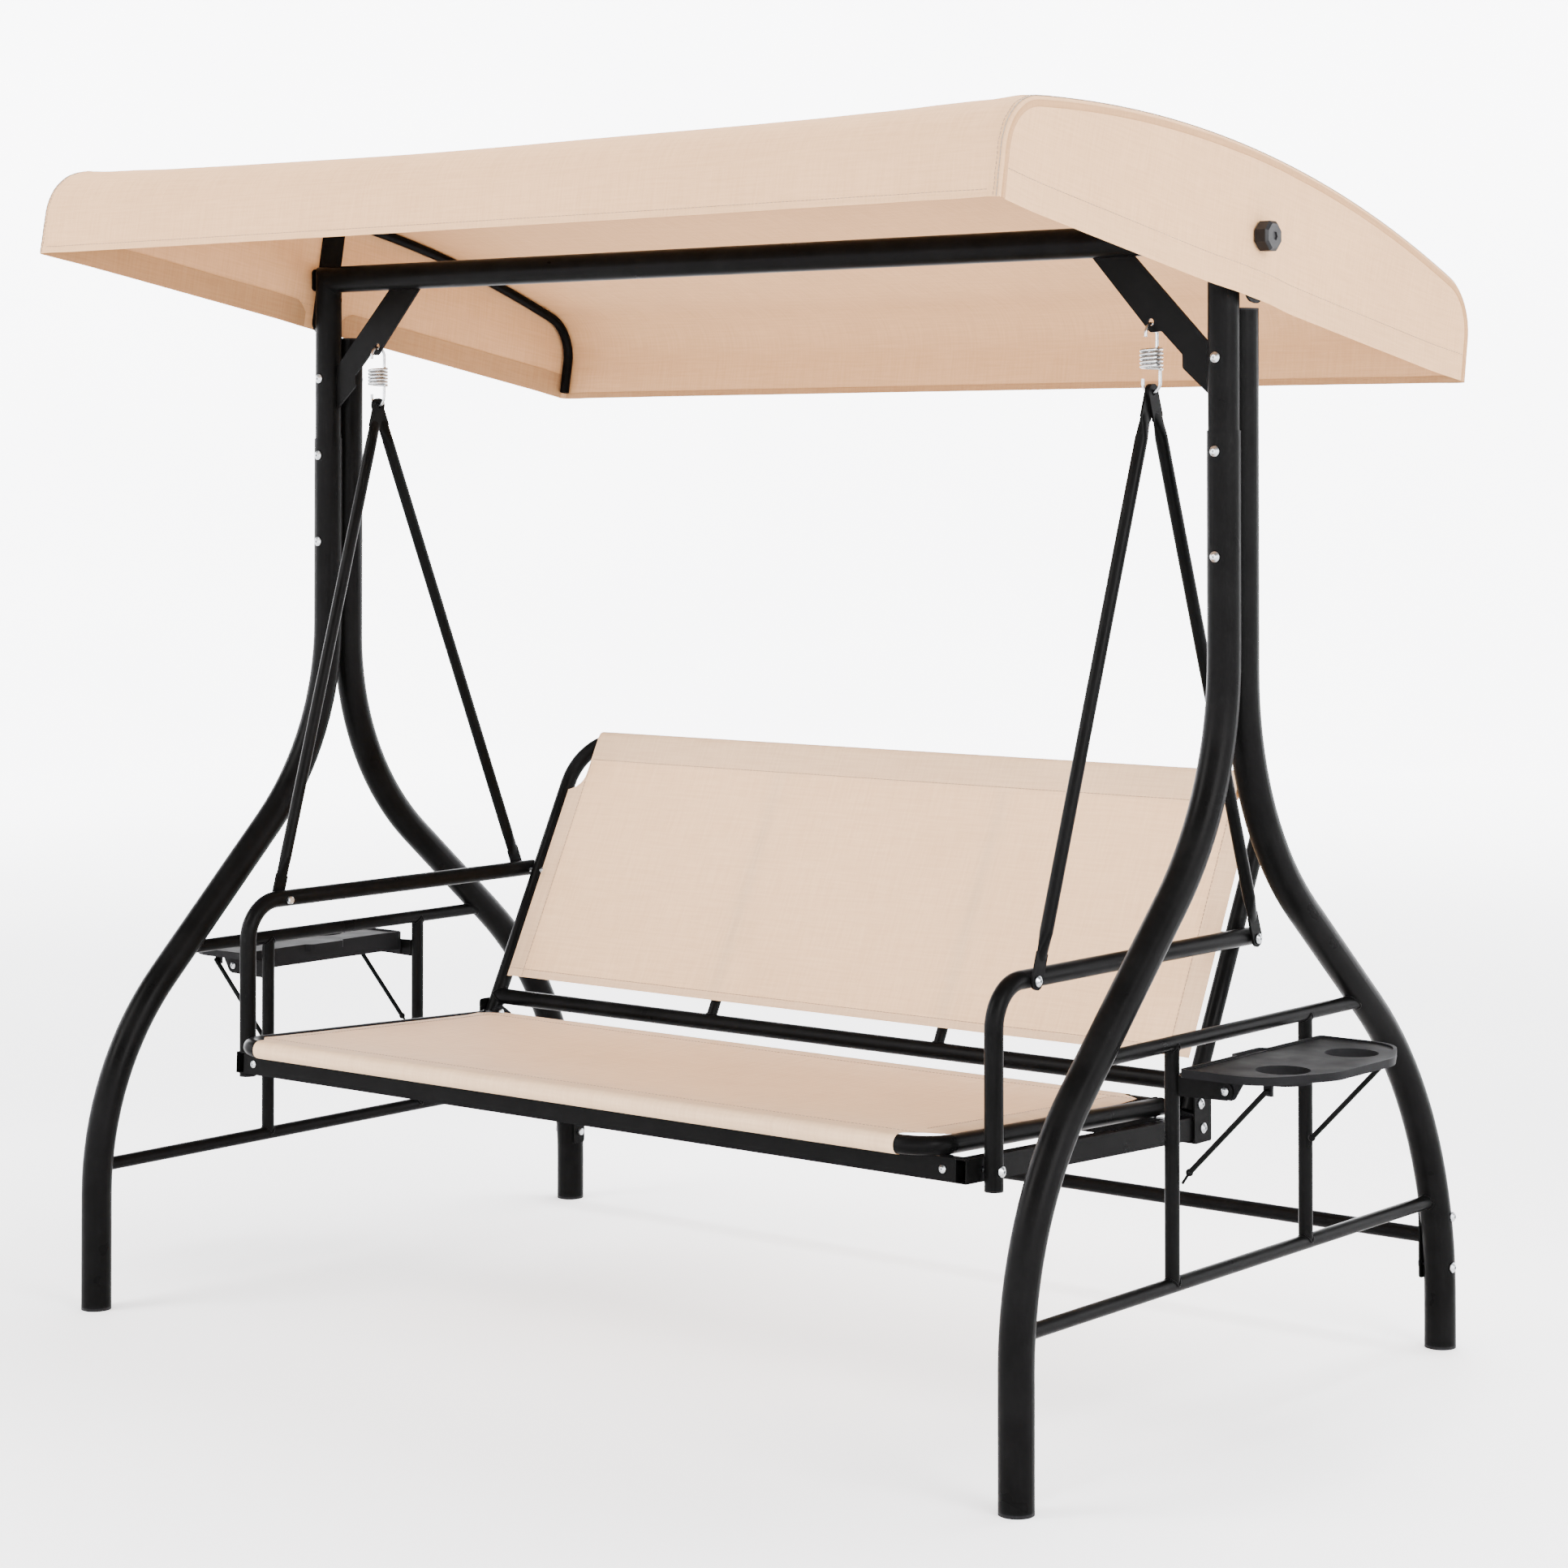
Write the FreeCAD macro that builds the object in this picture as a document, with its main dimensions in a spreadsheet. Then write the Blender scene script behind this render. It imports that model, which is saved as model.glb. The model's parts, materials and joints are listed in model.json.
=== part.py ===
"""Three-seat canopy swing: steel stand, tilting canopy, sprung seat and two folding side trays.

Frame: +Z up, X along the seat, -Y is the front, origin on the floor under the centre of the whole.
"""
import FreeCAD, Part
import math
import os
import Sketcher
from FreeCAD import Placement, Rotation, Vector

doc = FreeCAD.newDocument("CanopySwing")
sheet = doc.addObject("Spreadsheet::Sheet", "Sizes")

X_AXIS = Vector(1, 0, 0)
Y_AXIS = Vector(0, 1, 0)
Z_AXIS = Vector(0, 0, 1)
ORIGIN = Vector(0, 0, 0)
SIDES = (("right", 1), ("left", -1))

DIMENSIONS = [
    # stand
    ("leg_dia", 50.8, "outer diameter of the bent legs"),
    ("leg_wall", 1.5, "wall of the bent legs"),
    ("leg_x", 950.0, "centre plane of each side frame"),
    ("post_dia", 47.4, "outer diameter of the top posts and of the beam"),
    ("post_wall", 1.2, "wall of the top posts and of the beam"),
    ("post_y", -26.0, "centre line of the top posts"),
    ("post_bottom", 1260.0, "height where a post ends inside its front leg"),
    ("front_foot_y", -563.0, "centre of a front foot"),
    ("rear_foot_y", 629.0, "centre of a rear foot"),
    ("front_turn", 45.0, "slope of a front leg from upright, degrees"),
    ("rear_turn", 50.0, "slope of a rear leg from upright, degrees"),
    ("front_bend", 500.0, "radius of both bends of a front leg"),
    ("rear_low_bend", 650.0, "radius of the lower bend of a rear leg"),
    ("rear_high_bend", 480.0, "radius of the upper bend of a rear leg"),
    ("sleeve_top", 1478.0, "top of a front leg, where the post comes out"),
    ("rear_leg_top", 1658.0, "top of a rear leg"),
    ("beam_z", 1766.0, "centre line of the beam"),
    ("foot_cap", 5.0, "thickness of a foot cap under the tube"),
    ("rail_dia", 22.0, "outer diameter of rails and uprights"),
    ("rail_wall", 1.2, "wall of rails and uprights"),
    ("upper_rail_z", 589.0, "centre line of the upper side rail"),
    ("lower_rail_z", 240.5, "centre line of the lower side rail"),
    ("upright_front_y", -171.0, "centre line of the front upright"),
    ("upright_rear_y", 205.0, "centre line of the rear upright"),
    ("crossbar_dia", 25.0, "outer diameter of the rear crossbar"),
    ("crossbar_z", 178.0, "centre line of the rear crossbar"),
    ("crossbar_y", 624.0, "centre line of the rear crossbar"),
    ("gusset_thick", 4.0, "thickness of a gusset plate"),
    ("spring_x", 823.0, "plane of the springs"),
    ("hook_high_z", 1640.0, "centre of the upper hook's wire in the gusset"),
    ("hook_low_z", 1536.0, "centre of the lower hook's wire in the hanger"),
    # canopy
    ("pivot_y", 10.0, "canopy pivot, just behind the beam"),
    ("canopy_tilt", 9.7, "canopy tilt as set, rear edge down, degrees"),
    ("canopy_half_long", 664.0, "half of the canopy from front to rear"),
    ("canopy_half_wide", 991.5, "half of the canopy from side to side"),
    ("canopy_hem", 94.0, "hem below the pivot"),
    ("canopy_eave", 49.0, "height above the pivot where roof and valance lines meet"),
    ("canopy_ridge", 188.0, "height above the pivot where the two roof lines meet"),
    ("canopy_corner", 90.0, "radius from roof to valance"),
    ("canopy_crown", 2830.0, "radius of the roof"),
    ("fabric", 1.0, "thickness of the cover"),
    ("arch_dia", 18.0, "outer diameter of a canopy arch"),
    ("arch_wall", 1.0, "wall of a canopy arch"),
    ("strip_thick", 3.0, "thickness of the strip that carries an arch"),
    ("strip_wide", 52.0, "width of the strip that carries an arch"),
    ("stud_dia", 10.0, "diameter of the pivot stud"),
    ("knob_dia", 48.0, "knob across its corners"),
    ("knob_deep", 25.0, "depth of the knob"),
    # springs and hangers
    ("wire_dia", 5.0, "spring wire"),
    ("coil_radius", 15.5, "coil centre line"),
    ("coil_low", 1571.5, "centre of the coil's lowest turn"),
    ("coil_tall", 31.0, "height of the coil between wire centres"),
    ("coil_turns", 5.0, "turns of the coil"),
    ("hanger_dia", 20.0, "outer diameter of a hanger tube"),
    ("hanger_wall", 1.2, "wall of a hanger tube"),
    ("hanger_flat", 4.0, "thickness of a flattened hanger end"),
    ("hanger_wide", 27.0, "width of a flattened hanger end"),
    # seat and backrest
    ("seat_tube", 28.0, "outer diameter of arm, seat and back tubes"),
    ("seat_wall", 1.2, "wall of arm, seat and back tubes"),
    ("arm_x", 780.0, "plane of an arm"),
    ("arm_y", -376.0, "upright part of an arm"),
    ("arm_low", 389.0, "lower end of an arm"),
    ("arm_high", 681.0, "centre line of the arm rest"),
    ("arm_rear", 334.0, "rear end of an arm"),
    ("arm_bend", 65.0, "bend radius of an arm"),
    ("seat_front_y", -453.0, "seat front tube"),
    ("seat_front_z", 452.5, "seat front tube"),
    ("seat_slope", 2.3, "fall of the seat towards the rear, degrees"),
    ("seat_deep", 610.0, "seat front tube to seat rear tube"),
    ("seat_x", 720.0, "seat side tube"),
    ("seat_bend", 55.0, "bend radius of the seat tube"),
    ("bar_tall", 35.0, "height of the rectangular bars"),
    ("bar_wide", 20.0, "width of the rectangular bars"),
    ("bar_wall", 1.5, "wall of the rectangular bars"),
    ("bar_x", 752.0, "centre plane of a side bar"),
    ("bar_rear", 685.0, "rear end of a side bar behind the front tube"),
    ("back_x", 750.0, "backrest side tube"),
    ("back_y", 212.0, "backrest lower tube"),
    ("back_z", 459.0, "backrest lower tube"),
    ("back_lean", 26.8, "lean of the backrest from upright, degrees"),
    ("back_tall", 511.0, "backrest lower tube to top tube, along the lean"),
    ("back_foot", 45.0, "side tube below the lower tube, along the lean"),
    ("back_bend", 90.0, "bend radius of the backrest tube"),
    ("stay_x", 245.0, "backrest stay"),
    ("stay_dia", 18.0, "outer diameter of a backrest stay"),
    ("sling", 1.2, "thickness of the slings"),
    # side trays
    ("tray_pivot_x", 1040.0, "tray hinge line"),
    ("tray_pivot_z", 530.0, "tray hinge line"),
    ("tray_top", 560.0, "top face of a tray"),
    ("tray_slab", 12.0, "thickness of a tray's top"),
    ("tray_inner", 970.0, "inner edge of a tray"),
    ("tray_outer", 1175.0, "outer edge of a tray"),
    ("tray_y", -4.0, "middle of a tray"),
    ("tray_half", 199.0, "half length of a tray"),
    ("cup_dia", 80.0, "cup hole"),
    ("cup_deep", 20.0, "length of the cup hole's collar"),
    ("cup_x", 1094.0, "cup hole centre"),
    ("cup_y", 98.0, "cup hole centre from the middle of the tray"),
    ("brace_dia", 8.0, "brace rod"),
    ("brace_x", 1100.0, "brace pin"),
    ("brace_z", 534.0, "brace pin"),
    ("brace_foot_x", 972.0, "lower end of a brace rod"),
    ("brace_foot_z", 404.0, "lower end of a brace rod"),
    ("bolt_dia", 8.0, "shank of the frame bolts"),
    ("bolt_head", 16.0, "head of the frame bolts"),
    ("small_bolt", 6.0, "shank of the small bolts"),
    ("small_head", 12.0, "head of the small bolts"),
]


def fill_sheet():
    """Write every driving dimension as a named cell and return the values."""
    for row, (alias, value, note) in enumerate(DIMENSIONS, start=1):
        sheet.set("A%d" % row, alias)
        sheet.set("B%d" % row, str(value))
        sheet.set("C%d" % row, note)
        sheet.setAlias("B%d" % row, alias)
    doc.recompute()
    return {alias: float(sheet.get(alias)) for alias, _, _ in DIMENSIONS}


size = fill_sheet()

LEAN = Rotation(X_AXIS, -size["back_lean"])
SEAT_PLACE = Placement(Vector(0, size["seat_front_y"], size["seat_front_z"]), Rotation(X_AXIS, -size["seat_slope"]))
BACK_PLACE = Placement(Vector(0, size["back_y"], size["back_z"]), LEAN)
CANOPY_PLACE = Placement(Vector(0, size["pivot_y"], size["beam_z"]), Rotation(X_AXIS, -size["canopy_tilt"]))
parts = []


# ---------------------------------------------------------------- helpers


def keep(thing, label, placement=None):
    """Give a finished sub-part its name and place and put it on the list to write out."""
    thing.Label = label
    if placement is not None:
        thing.Placement = placement
    parts.append(thing)
    return thing


def body(name):
    return doc.addObject("PartDesign::Body", name)


def sketch_on(owner, role, shift=None):
    """A sketch on one of the body's own origin planes."""
    plane = next(item for item in owner.Origin.OriginFeatures if item.Role == role)
    sketch = owner.newObject("Sketcher::SketchObject", owner.Name + "Sketch")
    sketch.AttachmentSupport = [(plane, "")]
    sketch.MapMode = "FlatFace"
    if shift is not None:
        sketch.AttachmentOffset = Placement(shift, Rotation())
    return sketch


def bound_circle(sketch, centre, radius, formula):
    """A circle whose radius follows a formula of sheet cells."""
    index = sketch.addGeometry(Part.Circle(Vector(centre[0], centre[1], 0), Z_AXIS, radius))
    rule = sketch.addConstraint(Sketcher.Constraint("Radius", index, radius))
    sketch.setExpression("Constraints[%d]" % rule, formula)
    return index


def outline(sketch, points, radii=None, closed=True):
    """Lines through the points, with an arc of the given radius at each corner; 0 keeps it sharp.

    Returns the number of edges drawn.
    """
    corners = [Vector(point[0], point[1], 0) for point in points]
    count = len(corners)
    radii = radii or [0.0] * count
    arcs = []
    for index, corner in enumerate(corners):
        if radii[index] <= 0:
            arcs.append((corner, corner, None))
            continue
        back = (corners[index - 1] - corner).normalize()
        ahead = (corners[(index + 1) % count] - corner).normalize()
        turn = math.pi - back.getAngle(ahead)
        reach = radii[index] * math.tan(turn / 2)
        centre = corner + (back + ahead).normalize() * (radii[index] / math.cos(turn / 2))
        middle = centre + (corner - centre).normalize() * radii[index]
        arcs.append((corner + back * reach, corner + ahead * reach, middle))
    edges = []
    for index, (start, end, middle) in enumerate(arcs):
        if middle is not None:
            edges.append(Part.Arc(start, middle, end))
        following = arcs[(index + 1) % count][0]
        if (closed or index < count - 1) and (following - end).Length > 1e-6:
            edges.append(Part.LineSegment(end, following))
    sketch.addGeometry(edges)
    return len(edges)


def pad(owner, sketch, formula, symmetric=True, reverse=False):
    feature = owner.newObject("PartDesign::Pad", owner.Name + "Pad")
    feature.Profile = sketch
    if symmetric:
        feature.SideType = "Symmetric"
    feature.Reversed = reverse
    feature.setExpression("Length", formula)
    return feature


def pocket_through(owner, sketch):
    """Cut a sketch right through the body, both ways from its plane, and prove that it cut."""
    doc.recompute()
    before = owner.Shape.Volume
    feature = owner.newObject("PartDesign::Pocket", owner.Name + "Pocket")
    feature.Profile = sketch
    feature.SideType = "Symmetric"
    feature.Length = 4000.0
    doc.recompute()
    if owner.Shape.Volume >= before:
        raise RuntimeError("a pocket cut nothing in " + owner.Name)
    return feature


def bent_tube(name, role, corners, radii, dia, wall):
    """Body: a round tube swept along an upright start, then straight runs and tangent bends.

    The path starts at the body's own origin, heads along +Z and lies in the given origin plane.
    A wall of None makes solid wire or rod.
    """
    owner = body(name)
    profile = sketch_on(owner, "XY_Plane")
    bound_circle(profile, (0, 0), size[dia] / 2, "Sizes.%s / 2" % dia)
    if wall is not None:
        bound_circle(profile, (0, 0), size[dia] / 2 - size[wall], "Sizes.%s / 2 - Sizes.%s" % (dia, wall))
    spine = sketch_on(owner, role)
    edges = outline(spine, corners, radii, closed=False)
    pipe = owner.newObject("PartDesign::AdditivePipe", owner.Name + "Pipe")
    pipe.Profile = profile
    pipe.Spine = (spine, ["Edge%d" % (index + 1) for index in range(edges)])
    return owner


def rod(name, formula, start, end):
    """Part cylinder from start to end whose radius follows the sheet."""
    run = end - start
    cylinder = doc.addObject("Part::Cylinder", name)
    cylinder.setExpression("Radius", formula)
    cylinder.Height = run.Length
    cylinder.Placement = Placement(start, Rotation(Z_AXIS, run))
    return cylinder


def cut(name, base, tools):
    """Base minus the tools."""
    result = base
    for tool in tools:
        step = doc.addObject("Part::Cut", name + "Cut")
        step.Base = result
        step.Tool = tool
        result = step
    return result


def group(name, members):
    bundle = doc.addObject("Part::Compound", name + "Group")
    bundle.Links = members
    return bundle


def straight_tube(name, dia, wall, start, end, coped=()):
    """Round tube from start to end, its ends shaped to the members that it is welded to."""
    outer = rod(name + "Outer", "Sizes.%s / 2" % dia, start, end)
    inner = rod(name + "Bore", "Sizes.%s / 2 - Sizes.%s" % (dia, wall), start, end)
    return cut(name, outer, [inner] + list(coped))


def leg_holes(name, side, heights, x_direction=False):
    """Drill rods for the bolts of one side frame."""
    centre = Vector(side * size["leg_x"], size["post_y"], 0)
    reach = X_AXIS * 60 if x_direction else Y_AXIS * 140
    if x_direction:
        centre = Vector(side * size["leg_x"], size["crossbar_y"], 0)
    return [rod(name, "Sizes.bolt_dia / 2 + 0.1", centre - reach + Z_AXIS * height, centre + reach + Z_AXIS * height)
            for height in heights]


def bolt(name, grip, dia="bolt_dia", head="bolt_head", head_tall=5.0, nut_tall=6.5):
    """Body: a domed bolt along +Z, its head's seat at z = 0 and its nut's seat at z = grip."""
    owner = body(name)
    profile = sketch_on(owner, "XZ_Plane")
    shank = size[dia] / 2
    cap = size[head] / 2
    nut = 0.8 * cap
    outline(profile, [(0, -head_tall), (0.45 * cap, -head_tall), (cap, -0.35 * head_tall), (cap, 0), (shank, 0),
                      (shank, grip), (nut, grip), (nut, grip + nut_tall - 1.5), (nut - 1.5, grip + nut_tall),
                      (0, grip + nut_tall)])
    turned = owner.newObject("PartDesign::Revolution", name + "Turned")
    turned.Profile = profile
    turned.ReferenceAxis = (profile, ["V_Axis"])
    turned.Angle = 360
    socket = sketch_on(owner, "XY_Plane", Vector(0, 0, -head_tall))
    corners = [(0.32 * cap * math.cos(math.radians(60 * turn)), 0.32 * cap * math.sin(math.radians(60 * turn)))
               for turn in range(6)]
    outline(socket, corners)
    doc.recompute()
    hollow = owner.newObject("PartDesign::Pocket", name + "Socket")
    hollow.Profile = socket
    hollow.Length = 2.4
    hollow.Reversed = True
    doc.recompute()
    return owner


def fastener_group(label, runs):
    """One node of bolts. Each run is a master bolt and its seats: (point under the head, way the shank points)."""
    copies = []
    for master, seats in runs:
        for point, direction in seats:
            copy = master.Shape.copy()
            copy.Placement = Placement(point, Rotation(Z_AXIS, direction))
            copies.append(copy)
    node = doc.addObject("Part::Feature", "Fasteners")
    node.Shape = Part.makeCompound(copies)
    return keep(node, label)


# ---------------------------------------------------------------- stand


def leg_corners(foot_y, top_y, turn, start_z, top_z):
    """Corner points of a leg's centre line, relative to the top of its foot cap."""
    spread = top_y - foot_y
    rise = abs(spread) / math.tan(math.radians(turn))
    low = start_z - size["foot_cap"]
    high = low + rise
    return [(0, 0), (0, low), (spread, high), (spread, top_z - size["foot_cap"])]


def leg_low_corner(front):
    """Height where the upright foot line meets the sloping line of a leg."""
    return 401.0 if front else 386.0


def make_leg(kind, side_name, side, solid=False):
    """One bent leg, or its solid outer shape when it serves to cope the rails."""
    front = kind == "front"
    foot_y = size["front_foot_y"] if front else size["rear_foot_y"]
    top_y = size["post_y"] if front else size["post_y"] + size["leg_dia"] + 0.2
    turn = size["front_turn"] if front else size["rear_turn"]
    low_bend = size["front_bend"] if front else size["rear_low_bend"]
    high_bend = size["front_bend"] if front else size["rear_high_bend"]
    top_z = size["sleeve_top"] if front else size["rear_leg_top"]
    corners = leg_corners(foot_y, top_y, turn, leg_low_corner(front), top_z)
    name = kind + "_leg_" + side_name
    tube = bent_tube(name + ("_envelope" if solid else "_tube"), "YZ_Plane", corners, [0, low_bend, high_bend, 0],
                     "leg_dia", None if solid else "leg_wall")
    tube.Placement = Placement(Vector(side * size["leg_x"], foot_y, size["foot_cap"]), Rotation())
    return tube


POST_BOLTS = (1586.0, 1447.0, 1291.0)
CROSSBAR_BOLTS = (132.0, 214.0)


def make_side_frame(side_name, side):
    """Legs, rails and uprights of one side, welded into one flat frame."""
    envelopes = {}
    for kind in ("front", "rear"):
        tube = make_leg(kind, side_name, side)
        envelopes[kind] = make_leg(kind, side_name, side, solid=True)
        holes = leg_holes("LegDrill", side, POST_BOLTS[1:] if kind == "front" else POST_BOLTS)
        if kind == "rear":
            holes += leg_holes("CrossDrill", side, CROSSBAR_BOLTS, x_direction=True)
        name = kind + "_leg_" + side_name
        keep(cut(name, tube, holes), name)
    x = side * size["leg_x"]
    rails = []
    rail_shapes = []
    for level in ("upper", "lower"):
        z = size[level + "_rail_z"]
        start = Vector(x, size["front_foot_y"] if level == "lower" else -375.0, z)
        end = Vector(x, size["rear_foot_y"] if level == "lower" else 382.0, z)
        rails.append(straight_tube("Rail", "rail_dia", "rail_wall", start, end, envelopes.values()))
        rail_shapes.append(rod("RailEnvelope", "Sizes.rail_dia / 2", start, end))
    keep(group("Rails", rails), "side_rails_" + side_name)
    uprights = []
    for place in ("front", "rear"):
        y = size["upright_%s_y" % place]
        start = Vector(x, y, size["lower_rail_z"])
        end = Vector(x, y, size["upper_rail_z"])
        uprights.append(straight_tube("Upright", "rail_dia", "rail_wall", start, end, rail_shapes))
    keep(group("Uprights", uprights), "uprights_" + side_name)


def make_foot_caps():
    """Four moulded caps: a disc under each leg and a plug inside it."""
    caps = []
    for side in (1, -1):
        for foot_y in (size["front_foot_y"], size["rear_foot_y"]):
            base = Vector(side * size["leg_x"], foot_y, 0)
            disc = rod("FootDisc", "Sizes.leg_dia / 2", base, base + Z_AXIS * size["foot_cap"])
            plug = rod("FootPlug", "Sizes.leg_dia / 2 - Sizes.leg_wall - 0.1", base, base + Z_AXIS * 25)
            cap = doc.addObject("Part::Fuse", "FootCap")
            cap.Base = disc
            cap.Tool = plug
            caps.append(cap)
    keep(group("foot_caps", caps), "foot_caps")


def make_rear_leg_caps():
    """Two moulded caps on the open tops of the rear legs."""
    caps = []
    for side in (1, -1):
        top = Vector(side * size["leg_x"], size["post_y"] + size["leg_dia"] + 0.2, size["rear_leg_top"])
        disc = rod("TopDisc", "Sizes.leg_dia / 2", top, top + Z_AXIS * 3)
        plug = rod("TopPlug", "Sizes.leg_dia / 2 - Sizes.leg_wall - 0.1", top - Z_AXIS * 18, top)
        cap = doc.addObject("Part::Fuse", "TopCap")
        cap.Base = disc
        cap.Tool = plug
        caps.append(cap)
    keep(group("rear_leg_caps", caps), "rear_leg_caps")


def make_crossbar():
    """Rear crossbar with a bolting plate welded to each end."""
    y = size["crossbar_y"]
    z = size["crossbar_z"]
    inner = size["leg_x"] - size["leg_dia"] / 2 - 0.2
    thick = 3.0
    end = inner - thick
    bar = straight_tube("Crossbar", "crossbar_dia", "rail_wall", Vector(-end, y, z), Vector(end, y, z))
    pieces = [bar]
    for side in (1, -1):
        plate = body("CrossbarPlate")
        sketch = sketch_on(plate, "YZ_Plane")
        outline(sketch, [(-14, 110), (14, 110), (14, 236), (-14, 236)], [6] * 4)
        pad(plate, sketch, str(thick))
        plate.Placement = Placement(Vector(side * (end + thick / 2), y, 0), Rotation())
        pieces.append(cut("DrilledPlate", plate, leg_holes("PlateDrill", side, CROSSBAR_BOLTS, x_direction=True)))
    welded = doc.addObject("Part::MultiFuse", "WeldedCrossbar")
    welded.Shapes = pieces
    keep(welded, "rear_crossbar")


def make_top_frame():
    """Beam and two posts, mitred and welded, each with a gusset that carries a spring."""
    radius = size["post_dia"] / 2
    y = size["post_y"]
    z = size["beam_z"]
    x = size["leg_x"]
    mitres = []
    for side in (1, -1):
        wedge = doc.addObject("Part::Box", "MitreBox")
        wedge.Length = 200.0
        wedge.Width = 100.0
        wedge.Height = 200.0
        turn = Rotation(Y_AXIS, 45 if side > 0 else -45)
        offset = Vector(0, -50, -100) if side > 0 else Vector(-200, -50, -100)
        wedge.Placement = Placement(Vector(side * x, y, z) + turn.multVec(offset), turn)
        mitres.append(wedge)
    beam = straight_tube("Beam", "post_dia", "post_wall", Vector(-x - radius, y, z), Vector(x + radius, y, z), mitres)
    keep(beam, "top_beam")
    for side_name, side in SIDES:
        wedge = doc.addObject("Part::Box", "PostMitre")
        wedge.Length = 200.0
        wedge.Width = 100.0
        wedge.Height = 200.0
        turn = Rotation(Y_AXIS, 45 if side > 0 else -45)
        offset = Vector(-200, -50, -100) if side > 0 else Vector(0, -50, -100)
        wedge.Placement = Placement(Vector(side * x, y, z) + turn.multVec(offset), turn)
        post = straight_tube("Post", "post_dia", "post_wall", Vector(side * x, y, size["post_bottom"]),
                             Vector(side * x, y, z + radius), [wedge])
        name = "top_post_" + side_name
        keep(cut(name, post, leg_holes("PostDrill", side, POST_BOLTS)), name)


def make_gusset(side_name, side):
    """Flat diagonal plate between beam and post, with the hole that the spring hooks into."""
    name = "gusset_" + side_name
    plate = body(name)
    sketch = sketch_on(plate, "XZ_Plane")
    under_beam = size["beam_z"] - size["post_dia"] / 2 - 0.1
    post_face = size["leg_x"] - size["post_dia"] / 2 - 0.1
    points = [(718, under_beam), (794, under_beam), (post_face, 1608), (post_face, 1531), (879, 1572), (879, 1592),
              (842, 1628), (822, 1626), (810, 1640)]
    outline(sketch, [(side * px, pz) for px, pz in points], [0, 0, 0, 0, 6, 6, 6, 8, 6])
    pad(plate, sketch, "Sizes.gusset_thick")
    hole = sketch_on(plate, "XZ_Plane")
    bound_circle(hole, (side * size["spring_x"], size["hook_high_z"] + 2.0), 5.5, "5.5")
    pocket_through(plate, hole)
    keep(plate, name, Placement(Vector(0, size["post_y"], 0), Rotation()))


def make_pivot_plate_and_stud():
    """A plate on the outside of each beam corner and the shouldered stud that the canopy turns on."""
    plates = []
    studs = []
    face = size["leg_x"] + size["post_dia"] / 2 + 0.1
    thick = 4.0
    strip_inner = strip_face()
    outer = size["canopy_half_wide"]
    for side in (1, -1):
        plate = body("PivotPlate")
        sketch = sketch_on(plate, "YZ_Plane")
        outline(sketch, [(size["post_y"] - 16, -20), (size["pivot_y"] + 20, -20), (size["pivot_y"] + 20, 20),
                         (size["post_y"] - 16, 20)], [8] * 4)
        pad(plate, sketch, str(thick))
        hole = sketch_on(plate, "YZ_Plane")
        bound_circle(hole, (size["pivot_y"], 0), size["stud_dia"] / 2, "Sizes.stud_dia / 2")
        pocket_through(plate, hole)
        plate.Placement = Placement(Vector(side * (face + thick / 2), 0, size["beam_z"]), Rotation())
        plates.append(plate)
        centre = Vector(0, size["pivot_y"], size["beam_z"])
        out = X_AXIS * side
        shank = rod("StudShank", "Sizes.stud_dia / 2", centre + out * face, centre + out * (outer + 16))
        collar = rod("StudCollar", "Sizes.stud_dia * 0.9", centre + out * (face + thick + 0.05),
                     centre + out * (strip_inner - 0.3))
        stud = doc.addObject("Part::Fuse", "Stud")
        stud.Base = shank
        stud.Tool = collar
        studs.append(stud)
    keep(group("pivot_plates", plates), "pivot_plates")
    keep(group("canopy_studs", studs), "canopy_studs")


def make_stand_fasteners():
    """Through bolts of the post joints and of the crossbar."""
    radius = size["leg_dia"] / 2
    front = size["post_y"] - radius
    runs = []
    step = (size["leg_dia"] - size["post_dia"]) / 2
    for name, inset, heights in (("TopPostBolt", step, POST_BOLTS[:1]), ("PostBolt", 0.0, POST_BOLTS[1:])):
        seats = [(Vector(side * size["leg_x"], front + inset, height), Y_AXIS) for side in (1, -1)
                 for height in heights]
        runs.append((bolt(name, 4 * radius + 0.2 - inset), seats))
    fastener_group("post_bolts", runs)
    cross = bolt("CrossbarBolt", size["leg_dia"] + 3.4)
    seats = [(Vector(side * (size["leg_x"] + radius), size["crossbar_y"], height), X_AXIS * -side)
             for side in (1, -1) for height in CROSSBAR_BOLTS]
    fastener_group("crossbar_bolts", [(cross, seats)])


# ---------------------------------------------------------------- canopy


def strip_face():
    """Inner face of the strip that carries an arch, measured from the middle."""
    return size["canopy_half_wide"] - size["fabric"] - 0.3 - size["strip_thick"]


def canopy_outline(inset):
    """Corners and radii of the canopy's side view, drawn inwards by inset."""
    half = size["canopy_half_long"] - inset
    slope = (size["canopy_ridge"] - size["canopy_eave"]) / size["canopy_half_long"]
    drop = inset * math.hypot(1, slope)
    ridge = size["canopy_ridge"] - drop
    eave = ridge - slope * half
    return half, eave, ridge


def make_arch(side_name, side):
    """Bent tube that shapes one end of the roof."""
    inset = size["fabric"] + 0.3 + size["arch_dia"] / 2
    half, eave, ridge = canopy_outline(inset)
    hem = -size["canopy_hem"] + 10
    corners = [(0, 0), (0, eave - hem), (half, ridge - hem), (2 * half, eave - hem), (2 * half, 0)]
    corner = size["canopy_corner"] - inset
    name = "canopy_arch_" + side_name
    tube = bent_tube(name, "YZ_Plane", corners, [0, corner, size["canopy_crown"] - inset, corner, 0],
                     "arch_dia", "arch_wall")
    x = strip_face() - size["arch_dia"] / 2
    local = Placement(Vector(side * x, -half, hem), Rotation())
    keep(tube, name, CANOPY_PLACE.multiply(local))


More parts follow.
